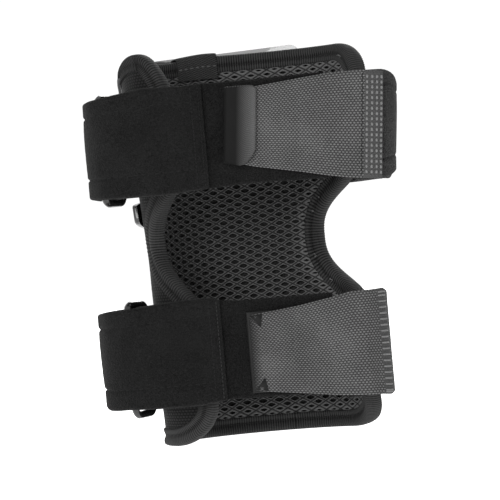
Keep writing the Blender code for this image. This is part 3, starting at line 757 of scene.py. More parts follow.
def net_centres():
    """Where the holes of the mesh stand, as s and z, and how far each is from the edge."""
    pitch_s, pitch_z = MESH_PITCH
    columns, rows = np.meshgrid(np.arange(-15, 12), np.arange(0, 88), indexing="ij")
    s = (columns * pitch_s + (rows % 2) * pitch_s / 2).ravel().astype(float)
    z = (rows * pitch_z / 2 + MESH_START).ravel().astype(float)
    level = np.clip(z, 0, HEIGHT)
    inside = (s > left_edge(level)) & (s < right_edge(level)) & (z > 0) & (z < HEIGHT)
    s, z = s[inside], z[inside]
    depth = OUTLINE.distance(s, z)
    keep = depth > 4.6
    return s[keep], z[keep], depth[keep]


def net_cell():
    """The rings of one cell, each a base, a share of the hole and a depth, and the hole."""
    half_s, half_z = MESH_PITCH[0] / 2, MESH_PITCH[1] / 2
    corners = np.array([(half_s, 0), (0, half_z), (-half_s, 0), (0, -half_z)])
    border = np.concatenate([a + (b - a) * np.array([[0], [1 / 3], [2 / 3]])
                             for a, b in zip(corners, np.roll(corners, -1, axis=0))])
    turns = np.radians(np.arange(12) * 30.0)
    round_off = (np.abs(np.cos(turns)) ** 1.35 + np.abs(np.sin(turns)) ** 1.35) ** (-1 / 1.35)
    hole = np.stack([HOLE[0] * np.cos(turns), HOLE[1] * np.sin(turns)], axis=1) * round_off[:, None]
    dip = np.array([0.25, 0.03, 0.0, 0.1, 0.0, 0.03] * 2)
    rings = [
        (border, 0.0, LINING_IN + dip), (border * 0.62, 0.38, -3.02 + dip * 0.5),
        (border * 0.22, 0.78, -3.16), (hole * 0, 1.1, -3.04), (hole * 0, 1.0, -2.62),
        (hole * 0, 1.03, LINING_OUT), (border, 0.0, LINING_OUT),
    ]
    return rings, hole


def build_lining():
    """The knitted mesh: a net of strands round staggered lens-shaped holes."""
    s, z, depth = net_centres()
    rings, hole = net_cell()
    narrow = 0.35 + 0.65 * smoothstep(6.5, 13.0, depth)
    parts = np.where(s < SEAM, 0, np.where(z > NOTCH_HEIGHT, 1, 2))
    for number, (part, bodies) in enumerate(PART_BODIES.items()):
        at = parts == number
        net = net_shape(s[at], z[at], rings, hole, narrow[at])
        obj = mesh_object(f"{part}_lining", net, [LINING])
        join_flap(obj, part, "liner", *[f"{body}_liner" for body in bodies])


def cell_bands(low, high):
    """Quads between two rings of points, for every cell at once."""
    return np.stack([low, np.roll(low, -1, 1), np.roll(high, -1, 1), high], axis=-1).reshape(-1, 4)


def net_shape(s, z, rings, hole, narrow):
    """One cell of net round each centre, joined to its neighbours along their borders.

    Each ring is a base, a share of the hole that is added to it and a depth; narrow closes
    the holes up along the edge.
    """
    count = len(s)
    places, heights, keys = [], [], []
    for number, (base, share, d) in enumerate(rings):
        ps = s[:, None] + base[:, 0] + share * hole[:, 0] * narrow[:, None] ** 0.5
        pz = z[:, None] + base[:, 1] + share * hole[:, 1] * narrow[:, None]
        places.append(np.stack([ps, pz], axis=-1))
        heights.append(np.broadcast_to(d, ps.shape))
        shared = number in (0, len(rings) - 1)
        cell = np.zeros_like(ps) if shared else np.arange(1, count + 1)[:, None] + 0 * ps
        keys.append(np.stack([np.round(ps * 20), np.round(pz * 20), cell, number + 0 * ps], axis=-1))
    keys = np.stack(keys, axis=1).reshape(-1, 4).astype(np.int64)
    places = np.stack(places, axis=1).reshape(-1, 2)
    heights = np.stack(heights, axis=1).reshape(-1)
    _, first, index = np.unique(keys, axis=0, return_index=True, return_inverse=True)
    index = index.reshape(count, len(rings), len(hole))
    ps, pz = places[first].T
    bulge = 0.45 * puff(OUTLINE.distance(ps, pz))
    points = wrap(ps, pz, heights[first] - bulge)
    faces = [cell_bands(index[:, ring], index[:, ring + 1]) for ring in range(len(rings) - 1)]
    edges = cell_bands(index[:, 0], index[:, -1])
    ordered = np.sort(edges[:, :2], axis=1)
    _, back_to, uses = np.unique(ordered, axis=0, return_inverse=True, return_counts=True)
    faces.append(edges[uses[back_to.reshape(-1)] == 1])
    return Shape().add(points, np.concatenate(faces), np.stack([ps, pz], axis=1))


def binding_section():
    """The tape's section as (distance from the sleeve's edge, d), its ribs' heights, and how far
    each point is, along the tape, from the tape's nearer edge.
    """
    reach = BINDING_WIDTH
    outside = [
        (reach, 3.0), (reach - 0.15, 3.4), (6.2, 3.55), (5.3, 3.35), (4.4, 3.05), (3.6, 3.1),
        (2.6, 3.5), (1.5, 3.55), (0.6, 2.95), (0.15, 1.8), (0.0, 0.6),
    ]
    folded = [(r, -d) for r, d in outside[::-1]]
    outside = [(r, d - 0.5 * smoothstep(0.2, 2.0, r)) for r, d in outside] + folded
    inside = [(1.4, -2.9), (0.75, -1.8), (0.6, 0.0), (0.75, 1.6), (1.4, 2.45)]
    profile = np.array(outside + inside)
    ribs = np.zeros(len(profile))
    r = profile[: len(outside), 0]
    ribs[: len(outside)] = 0.14 * (1 - 0.75 * np.exp(-((r - 4.0) / 0.9) ** 2))
    across = np.cumsum(np.r_[0, np.hypot(*np.diff(profile, axis=0).T)])
    return profile, ribs, np.minimum(across, across[len(outside) - 1] - across)


def binding_shape(start, stop):
    """Tape folded over the edge between two lengths along it, ribbed across and stitched."""
    profile, ribs, across = binding_section()
    count = len(profile)
    at = np.linspace(start, stop, 2 * round((stop - start) / RIB_PITCH) + 1)
    edge, inward = OUTLINE.points(at), OUTLINE.inward(at)
    crest = np.where(np.arange(len(at)) % 2, 1.0, -1.0)
    crest[[0, -1]] = 0
    place = edge[:, None] + inward[:, None] * profile[None, :, :1]
    waves = wobble(np.stack([at, 0 * at, 0 * at], -1), 9, 0.12)
    deep = profile[None, :, 1] + crest[:, None] * ribs * np.sign(profile[None, :, 1])
    deep = deep + waves[:, None] * np.sign(profile[None, :, 1]) * (ribs > 0)
    height = np.clip(place[..., 1], 0.0, HEIGHT)
    points = wrap(place[..., 0], height, deep)
    faces = list(grid_faces(len(at), count, loop=True))
    faces += [tuple(range(count)), tuple((len(at) - 1) * count + i for i in range(count))]
    uv = np.stack(np.broadcast_arrays(at[:, None], across[None, :]), axis=-1)
    shape = Shape().add(points, faces, uv)
    for side in (1, -1):
        column = int(np.argmin(np.hypot(profile[:, 0] - 4.4, profile[:, 1] - side * 2.55)))
        line = points[:, column]
        far = wrap(place[:, column, 0], height[:, column], side * 6.0)
        add_stitches(shape, line[::4], (far - line)[::4])
    return shape


def build_binding():
    """The edge tape, in the three lengths that it is parted into."""
    parts = {
        "wrist": (0.0, OUTLINE.notch, ("wrist_end_flap_binding",)),
        "hand": (OUTLINE.notch, OUTLINE.top, ("hand_end_flap_binding", "notch_binding")),
        "left": (OUTLINE.top, OUTLINE.length,
                 ("left_flap_binding", "hand_end_binding", "wrist_end_binding")),
    }
    for part, (start, stop, nodes) in parts.items():
        obj = mesh_object(f"{part}_edge_binding", binding_shape(start, stop), [BINDING, THREAD])
        join_flap(obj, part, "binding", *nodes)


def build_edge_tab():
    """A short woven tab folded over the hand-end edge and stitched."""
    low, top, step = HEIGHT - 9.5, HEIGHT + 0.1, 0.35
    inner, outer = -3.95, 3.75
    profile = resample(curve([
        (inner, low), (inner - 0.05, low + 4), (inner, top - 1.2), (inner + 1.4, top + 0.55),
        (0.0, top + 0.75), (outer - 1.2, top + 0.6), (outer, top - 0.4),
    ], 10), step)
    out = -right_of(unit_along(profile))
    s = np.linspace(-28.6, -10.6, 40)
    ribs = 0.07 * np.where(np.arange(len(profile)) % 2, 1, -1)
    rounding = 0.35 * np.sqrt(np.clip(1 - (np.abs(s - s.mean()) / 9.15) ** 12, 0.02, 1))
    sides = []
    for sign in (1, -1):
        shift = out[:, None] * (sign * rounding[None, :, None] + (ribs[:, None, None] if sign > 0 else 0))
        place = profile[:, None] + shift
        z = place[..., 1]
        level = np.clip(z, 0, HEIGHT)
        p = wrap(np.broadcast_to(s, z.shape), level, place[..., 0])
        p[..., 2] += z - level
        sides.append(p)
    front, back = sides
    rows = len(profile)
    shape = slab(front, back, s[None, :], np.arange(rows)[:, None] * step)
    row = int(np.argmin(np.abs(profile[:, 1] - (top - 4.2)) + 10 * (profile[:, 0] > 0)))
    line = front[row]
    add_stitches(shape, line, line - wrap(s, HEIGHT - 4, 0.0), pitch=2.2, length=1.5, radius=0.26)
    obj = mesh_object("edge_tab_cloth", shape, [TAB, TAB_THREAD])
    stand_in(obj, "sleeve_back", "binding", "edge_tab")


# ---------------------------------------------------------------- the palm shell


SHELL_TOP, SHELL_RIM, SHELL_TILT = 158.7, 157.2, 0.035  # the rim stands lower than its pattern
SHELL_THICKNESS = 2.0
SKID_PLANE = 36.5
RIVET_SPOTS = [(-16, 16), (16, 16), (-16, 60), (16, 60), (-36, 134), (15, 136)]
WINDOW_LOW, WINDOW_HIGH, WINDOW_SIDE = 97.7, 139.1, -41.0  # the notch round the upper anchor


def shell_edges(z):
    """Left and right edge of the shell at the heights z, as s."""
    wing = smoothstep(80.5, 90.5, z)
    left = -24 - 30.5 * wing
    right = 22 + 2 * np.sin(math.pi * np.minimum(z, 120) / 120)
    window = smoothstep(WINDOW_LOW - 1.5, WINDOW_LOW + 1.5, z)
    window = window * smoothstep(WINDOW_HIGH + 1.5, WINDOW_HIGH - 1.5, z)
    left = left + (WINDOW_SIDE - left) * window
    corners = [(13.0, SHELL_TOP - z, 1, 0), (3.5, SHELL_TOP - z, 0, 1), (9.0, z, 1, 1)]
    for radius, from_end, on_left, on_right in corners:
        cut = round_corner(from_end, radius)
        left, right = left + cut * on_left, right - cut * on_right
    return left, right


def shell_lift(s, z):
    """How far the shell bulges over the heel of the palm and flares at the hand end."""
    heel = 7.0 * np.exp(-(((z - 106) / 20) ** 2) - (s / 30) ** 2)
    return heel + 2.4 * np.clip((z - 138) / 20, 0, None) ** 2


def shell_relief(s, z, margin):
    """Ribs, the groove inside the rim, the rim's own rounding and the dip below the bulge."""
    ribs, run = 0.0, smoothstep(8, 16, z) * smoothstep(74, 64, z)
    for centre in (-9.0, 0.0, 9.0):
        ribs = ribs + 0.75 * np.exp(-(((s - centre) / 1.5) ** 4)) * run
    groove = -0.45 * np.exp(-(((margin - 3.2) / 0.75) ** 2))
    rounding = -0.95 * round_corner(margin)
    dip = -0.5 * np.exp(-(((z - 88) / 2.2) ** 2)) * smoothstep(26, 18, np.abs(s))
    return ribs + groove + rounding + dip


def build_shell():
    """The moulded palm shell, its mesh finest where its outline and its ribs turn."""
    spans = [(0, 4, 9), (5, 75, 50), (75.5, 87, 34), (88, 95, 8), (95.6, 99.8, 15), (101, 136, 26),
             (137, 141, 15), (142, 153, 10), (153.6, SHELL_TOP, 16)]
    z = np.concatenate([np.linspace(*span) for span in spans])
    left, right = shell_edges(z)
    u = (1 - np.cos(np.linspace(0, math.pi, 84))) / 2 * 0.6 + np.linspace(0, 1, 84) * 0.4
    s = left[:, None] + (right - left)[:, None] * u
    height = np.repeat(z[:, None], len(u), axis=1)
    margin = np.minimum.reduce([s - left[:, None], right[:, None] - s, height, SHELL_TOP - height])
    for i in range(len(z)):
        rows = slice(max(0, i - 12), i + 13)
        near = np.hypot(s[i, :, None] - left[None, rows], height[i, :, None] - z[None, rows])
        margin[i] = np.minimum(margin[i], near.min(axis=1))
    inside_d = 4.0 + shell_lift(s, height)
    outside_d = inside_d + SHELL_THICKNESS + shell_relief(s, height, margin)
    top = SHELL_RIM + 0.012 * s - 0.002 * np.clip(-20 - s, 0, None) ** 2
    raised = np.clip((height - 141) / (SHELL_TOP - 141), 0, 1)
    height = height + raised * (top - SHELL_TOP)
    layers = []
    for d, plane in ((outside_d, SKID_PLANE), (inside_d, SKID_PLANE - SHELL_THICKNESS)):
        p = wrap(s, np.minimum(height, HEIGHT), d)
        relief = shell_relief(s, height, margin) if plane == SKID_PLANE else 0.0
        p[..., 1] = np.minimum(p[..., 1], plane + relief)
        p[..., 2] = height + SHELL_TILT * s * np.clip((height - 140) / (SHELL_TOP - 140), 0, None)
        layers.append(p)
    obj = mesh_object("palm_shell_moulding", slab(*layers, s, height), [SHELL], sharp=50)
    stand_in(obj, "sleeve_back", "shell", "palm_shell")


def build_rivets():
    """Domed rivet heads with a rolled rim, each with its stem and washer end."""
    sides = 32
    for number, (s, z) in enumerate(RIVET_SPOTS, 1):
        rim = [(s + a, z + b) for a in (-4, 0, 4) for b in (-4, 0, 4)]
        seat = 6.0 + max(float(shell_lift(*map(float, spot))) for spot in rim) + 0.35
        profile = [
            (0.0, -0.5), (3.9, -0.5), (4.0, -0.2), (3.9, 0.7), (1.6, 0.7), (1.6, seat),
            (3.8, seat), (4.05, seat + 0.25), (4.0, seat + 0.55), (3.7, seat + 0.72),
            (3.45, seat + 0.66), (3.2, seat + 0.85), (2.4, seat + 1.25), (1.3, seat + 1.45),
            (0.5, seat + 1.5), (0.0, seat + 1.5),
        ]
        foot = wrap(float(s), float(z), 0.0)
        out = wrap(float(s), float(z), 1.0) - foot
        turn = Vector(out).to_track_quat("Z", "Y").to_matrix()
        around = np.linspace(0, 2 * math.pi, sides + 1)[:-1]
        points = [np.array(turn @ Vector((0, 0, profile[0][1]))) + foot]
        for radius, level in profile[1:-1]:
            for angle in around:
                spot = turn @ Vector((radius * math.cos(angle), radius * math.sin(angle), level))
                points.append(np.array(spot) + foot)
        points.append(np.array(turn @ Vector((0, 0, profile[-1][1]))) + foot)
        faces = list(grid_faces(len(profile) - 2, sides, 1, loop=True))
        last = len(points) - 1
        top = last - sides
        faces += [(0, 1 + (k + 1) % sides, 1 + k) for k in range(sides)]
        faces += [(last, top + k, top + (k + 1) % sides) for k in range(sides)]
        obj = mesh_object(f"rivet_{number}_head", Shape().add(points, faces), [RIVET], sharp=35)
        stand_in(obj, "sleeve_back", "rivet", f"rivet_{number}")


# ---------------------------------------------------------------- the straps


EDGE_ROUND, GROOVE_DEPTH = 1.3, 0.2


def across_widths(half_width, grooves):
    """Places across a strap, as shares of its half width, closer at edges and grooves."""
    edge = 1 - (1 - np.cos(np.linspace(0, math.pi / 2, 6))) * EDGE_ROUND / half_width
    places = set(np.round(np.concatenate([edge, -edge, np.linspace(-0.92, 0.92, 34)]), 4))
    for groove in grooves:
        places = {p for p in places if abs(p - groove) > 0.035}
        places |= {round(groove + k * 0.4 / half_width, 4) for k in (-2, -1, 0, 1, 2)}
    return np.array(sorted(places))


def offset(line, distance):
    """A line in plan, moved to its right."""
    return line + distance * right_of(unit_along(line))


def sharpness(ahead, step):
    """How sharply a line turns at each of its points, from 0 to 1."""
    turning = np.linalg.norm(np.gradient(ahead, axis=0), axis=1) / step
    return smoothstep(0.03, 0.11, np.convolve(np.pad(turning, 2, "edge"), np.ones(5) / 5, "valid"))


def strap_half(across, width, thickness, grooves, depth, puffed):
    """Half a strap's thickness: rounded edges, grooves of this depth and a pillow between."""
    from_edge = (1 - np.abs(across))[None, :] * width
    rounding = swell(from_edge / EDGE_ROUND, 0.004)
    groove = sum((np.exp(-(((across - g) * width.mean() / 0.55) ** 2)) for g in grooves), 0 * across)
    pillow = puffed * np.cos(np.clip(np.abs(across) / 0.6, 0, 1) * math.pi / 2) ** 0.7
    return thickness / 2 * rounding - groove[None, :] * depth + pillow[None, :] - puffed / 2


def tube(front, back, uv):
    """A front and a back grid of points joined along their long sides, both ends capped."""
    loop = np.concatenate([front, back[:, ::-1]], axis=1)
    rows, columns = loop.shape[:2]
    faces = list(grid_faces(rows, columns, loop=True))
    for first in (0, (rows - 1) * columns):
        last = first + columns - 1
        faces += [(first + j, first + j + 1, last - 1 - j, last - j) for j in range(front.shape[1] - 1)]
    return Shape().add(loop, faces, uv)


def strap_shape(line, edges, thickness, grooves=(), pinch=0.0, puffed=0.3, crease=0.15, seed=0.0,
                step=1.5, outer=1.0, lean=None, flat_end=EDGE_ROUND):
    """A padded strap along a line in plan: rounded edges, stitched grooves, soft creases.

    edges gives the heights of its low and high edge for each point of the line, and lean
    how far its high edge leans along +X for each millimetre of height, about what height,
    and over what length it sets in. pinch is how much deeper the grooves are at a sharp fold.
    """
    line = resample(line, step)
    low, high = edges(line)
    middle, width = ((high + low) / 2)[:, None], ((high - low) / 2)[:, None]
    across = across_widths(width.mean(), grooves)
    ahead = unit_along(line)
    out = right_of(ahead) * outer
    at = np.arange(len(line)) * step
    end = swell(np.minimum(at / flat_end, at[::-1] / EDGE_ROUND), 0.02)
    depth = GROOVE_DEPTH + pinch * sharpness(ahead, step)[:, None]
    half = strap_half(across, width, thickness, grooves, depth, puffed) * end[:, None]
    half = np.maximum(half, 0.06)
    z = middle + across[None, :] * width
    x = np.broadcast_to(line[:, :1], z.shape)
    if lean is not None:
        x = x + lean[0] * (z - lean[1]) * smoothstep(0, lean[2], at + 0.01)[:, None]
    centre = np.stack([x, np.broadcast_to(line[:, 1:], z.shape), z], axis=-1)
    shift = wobble(centre * np.array([1, 1, 0.35]), 6.0, crease, seed)
    fine = wobble(centre, 1.4, 0.05, seed + 3)
    normal = np.stack([np.broadcast_to(out[:, :1], z.shape), np.broadcast_to(out[:, 1:], z.shape), 0 * z], -1)
    front = centre + normal * (half + shift + fine)[..., None]
    back = centre - normal * (half - shift)[..., None]
    around = np.r_[across, across[::-1] + 3] * width.mean()
    shape = tube(front, back, np.stack(np.broadcast_arrays(at[::-1, None], around[None, :]), axis=-1))
    shape.front, shape.back, shape.normal, shape.across = front, back, normal, across
    return shape


def stitch_lines(shape, grooves, skip=0, **style):
    """Thread along a strap's grooves, on both faces."""
    rows = slice(skip, len(shape.front) - skip)
    for groove in grooves:
        column = int(np.argmin(np.abs(shape.across - groove)))
        out = shape.normal[rows, column]
        add_stitches(shape, shape.front[rows, column], out, **style)
        add_stitches(shape, shape.back[rows, column], -out, **style)


def stitch_across(shape, row, inset, **style):
    """Thread from edge to edge of a strap's outer face at one station."""
    keep = np.abs(shape.across) < inset
    add_stitches(shape, shape.front[row, keep], shape.normal[row, keep], **style)


def table_edges(places, low, high):
    """Edges of a strap whose heights follow its place from side to side."""
    return lambda line: (np.interp(line[:, 0], places, low), np.interp(line[:, 0], places, high))


GROOVES = (-0.59, 0.67)
FOLD_GROOVES = (-0.635, 0.75)

LOOP_FRONT = [(-16.8, -32.0), (-28, -33.2), (-40, -33.6), (-51, -32.3)]
LOOP_LINES = {
    "upper": [
        *LOOP_FRONT, (-58.6, -28.6), (-62.4, -22.5), (-62.4, -15.5), (-59.6, -11.2), (-55.6, -11.4),
        (-53, -15), (-51.6, -20), (-47.5, -25), (-40, -28.2), (-30, -29.5), (-18.6, -29.8),
    ],
    "lower": [
        *LOOP_FRONT, (-59, -28.6), (-63.2, -22.5), (-63.2, -15.5), (-60, -10.8), (-55, -10.2),
        (-50.8, -12.6), (-48.2, -17.5), (-46.2, -23), (-40.5, -27.4), (-30, -29.4), (-18.6, -29.8),
    ],
}
LOOP_EDGES = {
    "upper": table_edges(
        [-64, -62.8, -60.5, -57, -48, -40, -32, -24, -17, -7, 3, 22],
        [101.2, 99.6, 99.1, 99.1, 99.0, 98.9, 98.9, 99.5, 99.9, 100.5, 100.7, 100.2],
        [136.8, 137.6, 138.0, 138.4, 139.6, 140.7, 140.7, 140.5, 140.9, 140.8, 140.9, 141.3],
    ),
    "lower": table_edges(
        [-64, -62.5, -60, -55, -44, -36, -28, -20, -16, -9, 20],
        [17.9, 17.0, 16.9, 17.0, 16.6, 16.5, 16.4, 17.2, 17.8, 17.4, 17.3],
        [54.9, 55.3, 55.5, 55.9, 56.8, 57.4, 57.9, 57.8, 56.4, 55.8, 55.8],
    ),
}


def build_loop_strap(side):
    """The padded loop round the ring, and the loop band that carries on from it."""
    seed = 11.0 if side == "upper" else 23.0
    shape = strap_shape(
        curve(LOOP_LINES[side]), LOOP_EDGES[side], LOOP_THICKNESS, GROOVES, outer=-1.0, seed=seed,
        crease=0.4, pinch=0.8, puffed=0.2, flat_end=3.5,
    )
    stitch_lines(shape, GROOVES, skip=3, radius=0.13)
    for row in (1, 3):
        # The lower loop's end row of stitches takes the thread painted lighter as a painted sheen.
        paint = 2 if row == 1 and side == "lower" else 1
        stitch_across(shape, row, inset=0.97, pitch=1.5, length=1.1, radius=0.15, paint=paint)
    obj = mesh_object(f"{side}_loop_cloth", shape, [STRAP, THREAD, SHEEN_THREAD])
    stand_in(obj, f"{side}_loop_strap", "strap", f"{side}_padded_loop")

    end = BAND_ENDS[side]
    line = [(-18.4, -30.9), (-16.5, -29.9), (-12, -29.3), (0, -29.2), (end, -29.2)]
    band = strap_shape(curve(line), LOOP_EDGES[side], BAND_THICKNESS, puffed=0.0, crease=0.2,
                       seed=seed + 5, step=1.0)
    obj = mesh_object(f"{side}_loop_pile", band, [BAND, THREAD])
    stand_in(obj, f"{side}_loop_strap", "loop", f"{side}_loop_band")


TAPE_STEP = 0.95
# The lean of each strap's hook side: X for each millimetre of height, about what height, and
# over what length it sets in.
LEAN = {"upper": (0.095, 119.0, 0.001), "lower": (0.0, 34.5, 0.001)}
# The hook side's edges at the fold: low, high and the radius of their round corners.
FOLD_EDGES = {"upper": (98.1, 140.8, 6.5), "lower": (14.4, 55.4, 2.0)}
TAPE_EDGES = {
    "upper": table_edges(
        [-9.5, -4, 3.7, 14, 22, 30, 38, 45, 52],
        [108.9, 108.6, 106.7, 104.7, 103.1, 101.3, 99.8, 98.9, 98.0],
        [137.2, 137.5, 138.1, 139.1, 139.9, 140.6, 140.8, 140.6, 139.9],
    ),
    "lower": table_edges(
        [-7, -6, -4, -1, 14, 26, 34, 42, 47, 49.5],
        [22.6, 20.6, 20.1, 19.7, 17.7, 15.9, 15.2, 14.8, 14.0, 15.0],
        [47.6, 49.4, 50.0, 50.2, 51.9, 53.9, 55.5, 55.6, 55.8, 54.0],
    ),
}


def hook_strap_line(side):
    """The strap's middle line in plan, from the back round the fold to the front."""
    middle, (x, y) = STRAP_HEIGHTS[side], FOLDS[side]
    bend, seat = bend_at(RIGHT_BEND, middle), SLEEVE_OUTSIDE + STRAP_THICKNESS / 2
    sewn = [wrap(bend - k, middle, seat)[:2] for k in (8.0, 5.0, 3.5)]
    leave = wrap(bend + 5, middle, seat + 3.2)[:2]
    slack, x = (3.4, x) if side == "upper" else (0.6, x - 1.1)
    return curve([
        *sewn, leave, (x - slack, y + 13), (x - slack / 6, y + 5.5), (x, y), (x - 1.6, y - 6.5),
        (x - 5.6, y - 11.0), (x - 10.4, y - 13.1), (x - 15.6, y - 13.4),
    ])


def build_hook_strap(side):
    """The padded strap from the back round the fold to the front, in one piece."""
    middle, (x, y) = STRAP_HEIGHTS[side], FOLDS[side]
    low, high, radius = FOLD_EDGES[side]

    def edges(line):
        cut = round_corner(line[:, 0].max() + 0.3 - line[:, 0], radius)
        cut = np.where(line[:, 1] < y + 8, cut, 0)
        front = smoothstep(y + 14, y + 2, line[:, 1])
        half = STRAP_WIDTH / 2 + 0.2
        back_low, back_high = middle - half, middle + half
        return (back_low + (low - back_low) * front + 0.6 * cut,
                back_high + (high - back_high) * front - cut)

    shape = strap_shape(hook_strap_line(side), edges, STRAP_THICKNESS, FOLD_GROOVES, pinch=0.9, puffed=0.2,
                        seed=31.0 if side == "upper" else 43.0, crease=0.3, lean=(*LEAN[side][:2], 25.0))
    stitch_lines(shape, FOLD_GROOVES, skip=2, radius=0.15)
    # The upper strap gets the lighter, painted-lit copy of the nap.
    obj = mesh_object(f"{side}_strap_cloth", shape, [STRAP_PAINTED_LIT if side == "upper" else STRAP, THREAD])
    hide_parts(f"{side}_strap_base", f"{side}_strap_end")
    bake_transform(obj)


def tape_line(side):
    """The hook tape's middle line in plan, from its root to its tip."""
    lift = 0.0 if side == "upper" else 1.9
    if side == "upper":
        root = FOLDS[side][0] - 5.0
        start = [(root + 0.1, -29.3), (root - 3.4, -30.8), (root - 8, -31.2)]
    else:
        start = offset(hook_strap_line(side), -2.2)
        start = start[start[:, 1] < FOLDS[side][1] - 2.5][::8]
        start = start[start[:, 0] > FOLDS[side][0] - 12]
    end = [(20, -31.2), (12, -31.1 - 0.4 * lift), (4, -31.0 - lift)]
    if side == "upper":
        end += [(-1.5, -31.3), (-7.0, -31.3)]
    else:
        end += [(0.5, -32.7), (-3.0, -32.3), (-5.6, -31.2), (-6.4, -29.9)]
    return curve([*start, *end])


def build_hook_tape(side):
    """The grey tape that closes the strap, hooked on its inside, and its pull tab."""
    shape = strap_shape(tape_line(side), TAPE_EDGES[side], TAPE_THICKNESS, puffed=0.0, crease=0.12,
                        seed=57.0, step=TAPE_STEP, outer=-1.0, lean=LEAN[side])
    if side == "upper":
        for row in (1, 3, 5, 7):
            stitch_across(shape, row, inset=0.94, pitch=2.0, length=1.45, radius=0.5, paint=3)
        stitch_across(shape, 9, inset=0.97, pitch=1.3, length=1.2, radius=0.18)
    else:
        for column in range(4, shape.front.shape[1] - 4, 2):
            rung = slice(4, 12)
            add_stitches(shape, shape.front[rung, column], shape.normal[rung, column],
                         pitch=5.0, length=5.8, radius=0.40, paint=3)
        for edge in (1, -1):
            add_ear(shape, edge)
    add_hooks(shape, 14, 16 if side == "upper" else 8)
    span = TAPE_STEP * (len(shape.front) - 1)
    sewn = span - (7.7 if side == "upper" else 10.0)
    fades = [(sewn + 0.3, sewn, 0.045)] + ([(0.8, 5.4, 0.006)] if side == "lower" else [])
    cloth = woven(f"{side}_hook_tape_weave", 0.022, 0.128, (1.4, 0.84), bump=0.2, wear=0.35, fades=fades)
    obj = mesh_object(f"{side}_hook_tape_cloth", shape, [cloth, THREAD, HOOKS, PALE_THREAD])
    stand_in(obj, f"{side}_hook_strap", "hook_tape", f"{side}_hook_tape")
    build_pull_tab(side)


def add_ear(shape, edge):
    """The tape's corner turned back on itself at the tip, showing its dark inner face."""
    column = -3 if edge > 0 else 2
    corners = []
    for x, inset in ((-5.6, 0.0), (-0.8, 0.0), (-1.4, 5.2)):
        row = int(np.argmin(np.abs(shape.front[:, column, 0] - x)))
        heights = shape.front[row, :, 2]
        place = int(np.argmin(np.abs(heights - (heights[column] - edge * inset))))
        corners.append(shape.front[row, place] + shape.normal[row, place] * 0.18)
    lifted = [p + np.array([0, -0.3, 0]) for p in corners]
    faces = [(0, 1, 2), (5, 4, 3), (0, 3, 4, 1), (1, 4, 5, 2), (2, 5, 3, 0)]
    shape.add(corners + lifted, faces, paint=1)


def add_hooks(shape, skip_root, skip_tip):
    """Rows of small moulded hooks on the tape's inner face."""
    up = np.array([0.0, 0.0, 1.0])
    faces = [(0, 1, 5, 4), (1, 2, 6, 5), (2, 3, 7, 6), (3, 0, 4, 7), (4, 5, 9, 8), (5, 6, 10, 9),
             (6, 7, 11, 10), (7, 4, 8, 11), (8, 9, 10, 11), (3, 2, 1, 0)]
    for row in range(skip_root, len(shape.back) - skip_tip, 2):
        for column in range(3, shape.back.shape[1] - 3):
            foot, out = shape.back[row, column], -shape.normal[row, column]
            side = np.array([out[1], -out[0], 0.0])
            base = [foot + side * a * 0.17 + up * b * 0.12 for a, b in SQUARE]
            bend = [p + out * 0.32 + side * 0.05 for p in base]
            end = [foot + out * 0.42 + side * (0.3 + a * 0.05) + up * b * 0.08 for a, b in SQUARE]
            shape.add(base + bend + end, faces, paint=2)


def build_pull_tab(side):
    """The satin tab at the tape's tip: folded over it above, where its pale grey is a painted sheen, turned
    under it below.
    """
    step = 0.5
    if side == "upper":
        line = curve([(-9.0, -31.9), (-8.7, -33.2), (-5, -34.0), (-1, -34.0), (2.8, -32.9)])

        def edges(line):
            x = line[:, 0]
            corner = 7.5 * np.clip((x + 3.6) / 6.4, 0, 1) ** 1.8
            return 109.2 - 0.27 * (x + 9) + corner, 138.6 - 0.02 * (x + 9) - 0.6 * np.clip(x - 1, 0, 2)

        shape = strap_shape(line, edges, 1.2, puffed=0.0, crease=0.1, step=step, seed=61, lean=LEAN[side])
        shape.uv[0][:, 0] = shape.uv[0][:, 0].max() - shape.uv[0][:, 0]
        rim = shape.front[:, -3]
        add_stitches(shape, rim, shape.normal[:, -3], pitch=1.0, length=0.7, radius=0.22, paint=1)
        # The folded tab's pale grey is a painted sheen.
        cloth, low, high = TAB_PAINTED_SHEEN, 109.0, 138.0
    else:
        line = curve([(-7.0, -30.9), (-4, -30.9), (0, -30.85), (4.2, -30.85)])
        low, high = 19.4, 50.9
        shape = strap_shape(line, lambda line: (low + 0 * line[:, 0], high + 0 * line[:, 0]),
                            1.0, puffed=0.0, crease=0.05, step=step, seed=67)
        cloth = TIP
    # The tab's stitches take the thread painted lighter as a painted sheen.
    obj = mesh_object(f"{side}_pull_tab_cloth", shape, [cloth, SHEEN_THREAD])
    stand_in(obj, f"{side}_hook_strap", "hook_tape", f"{side}_pull_tab")


RING_SPANS = {"upper": (118.45, 38.4), "lower": (35.65, 40.3)}  # middle height and inside length


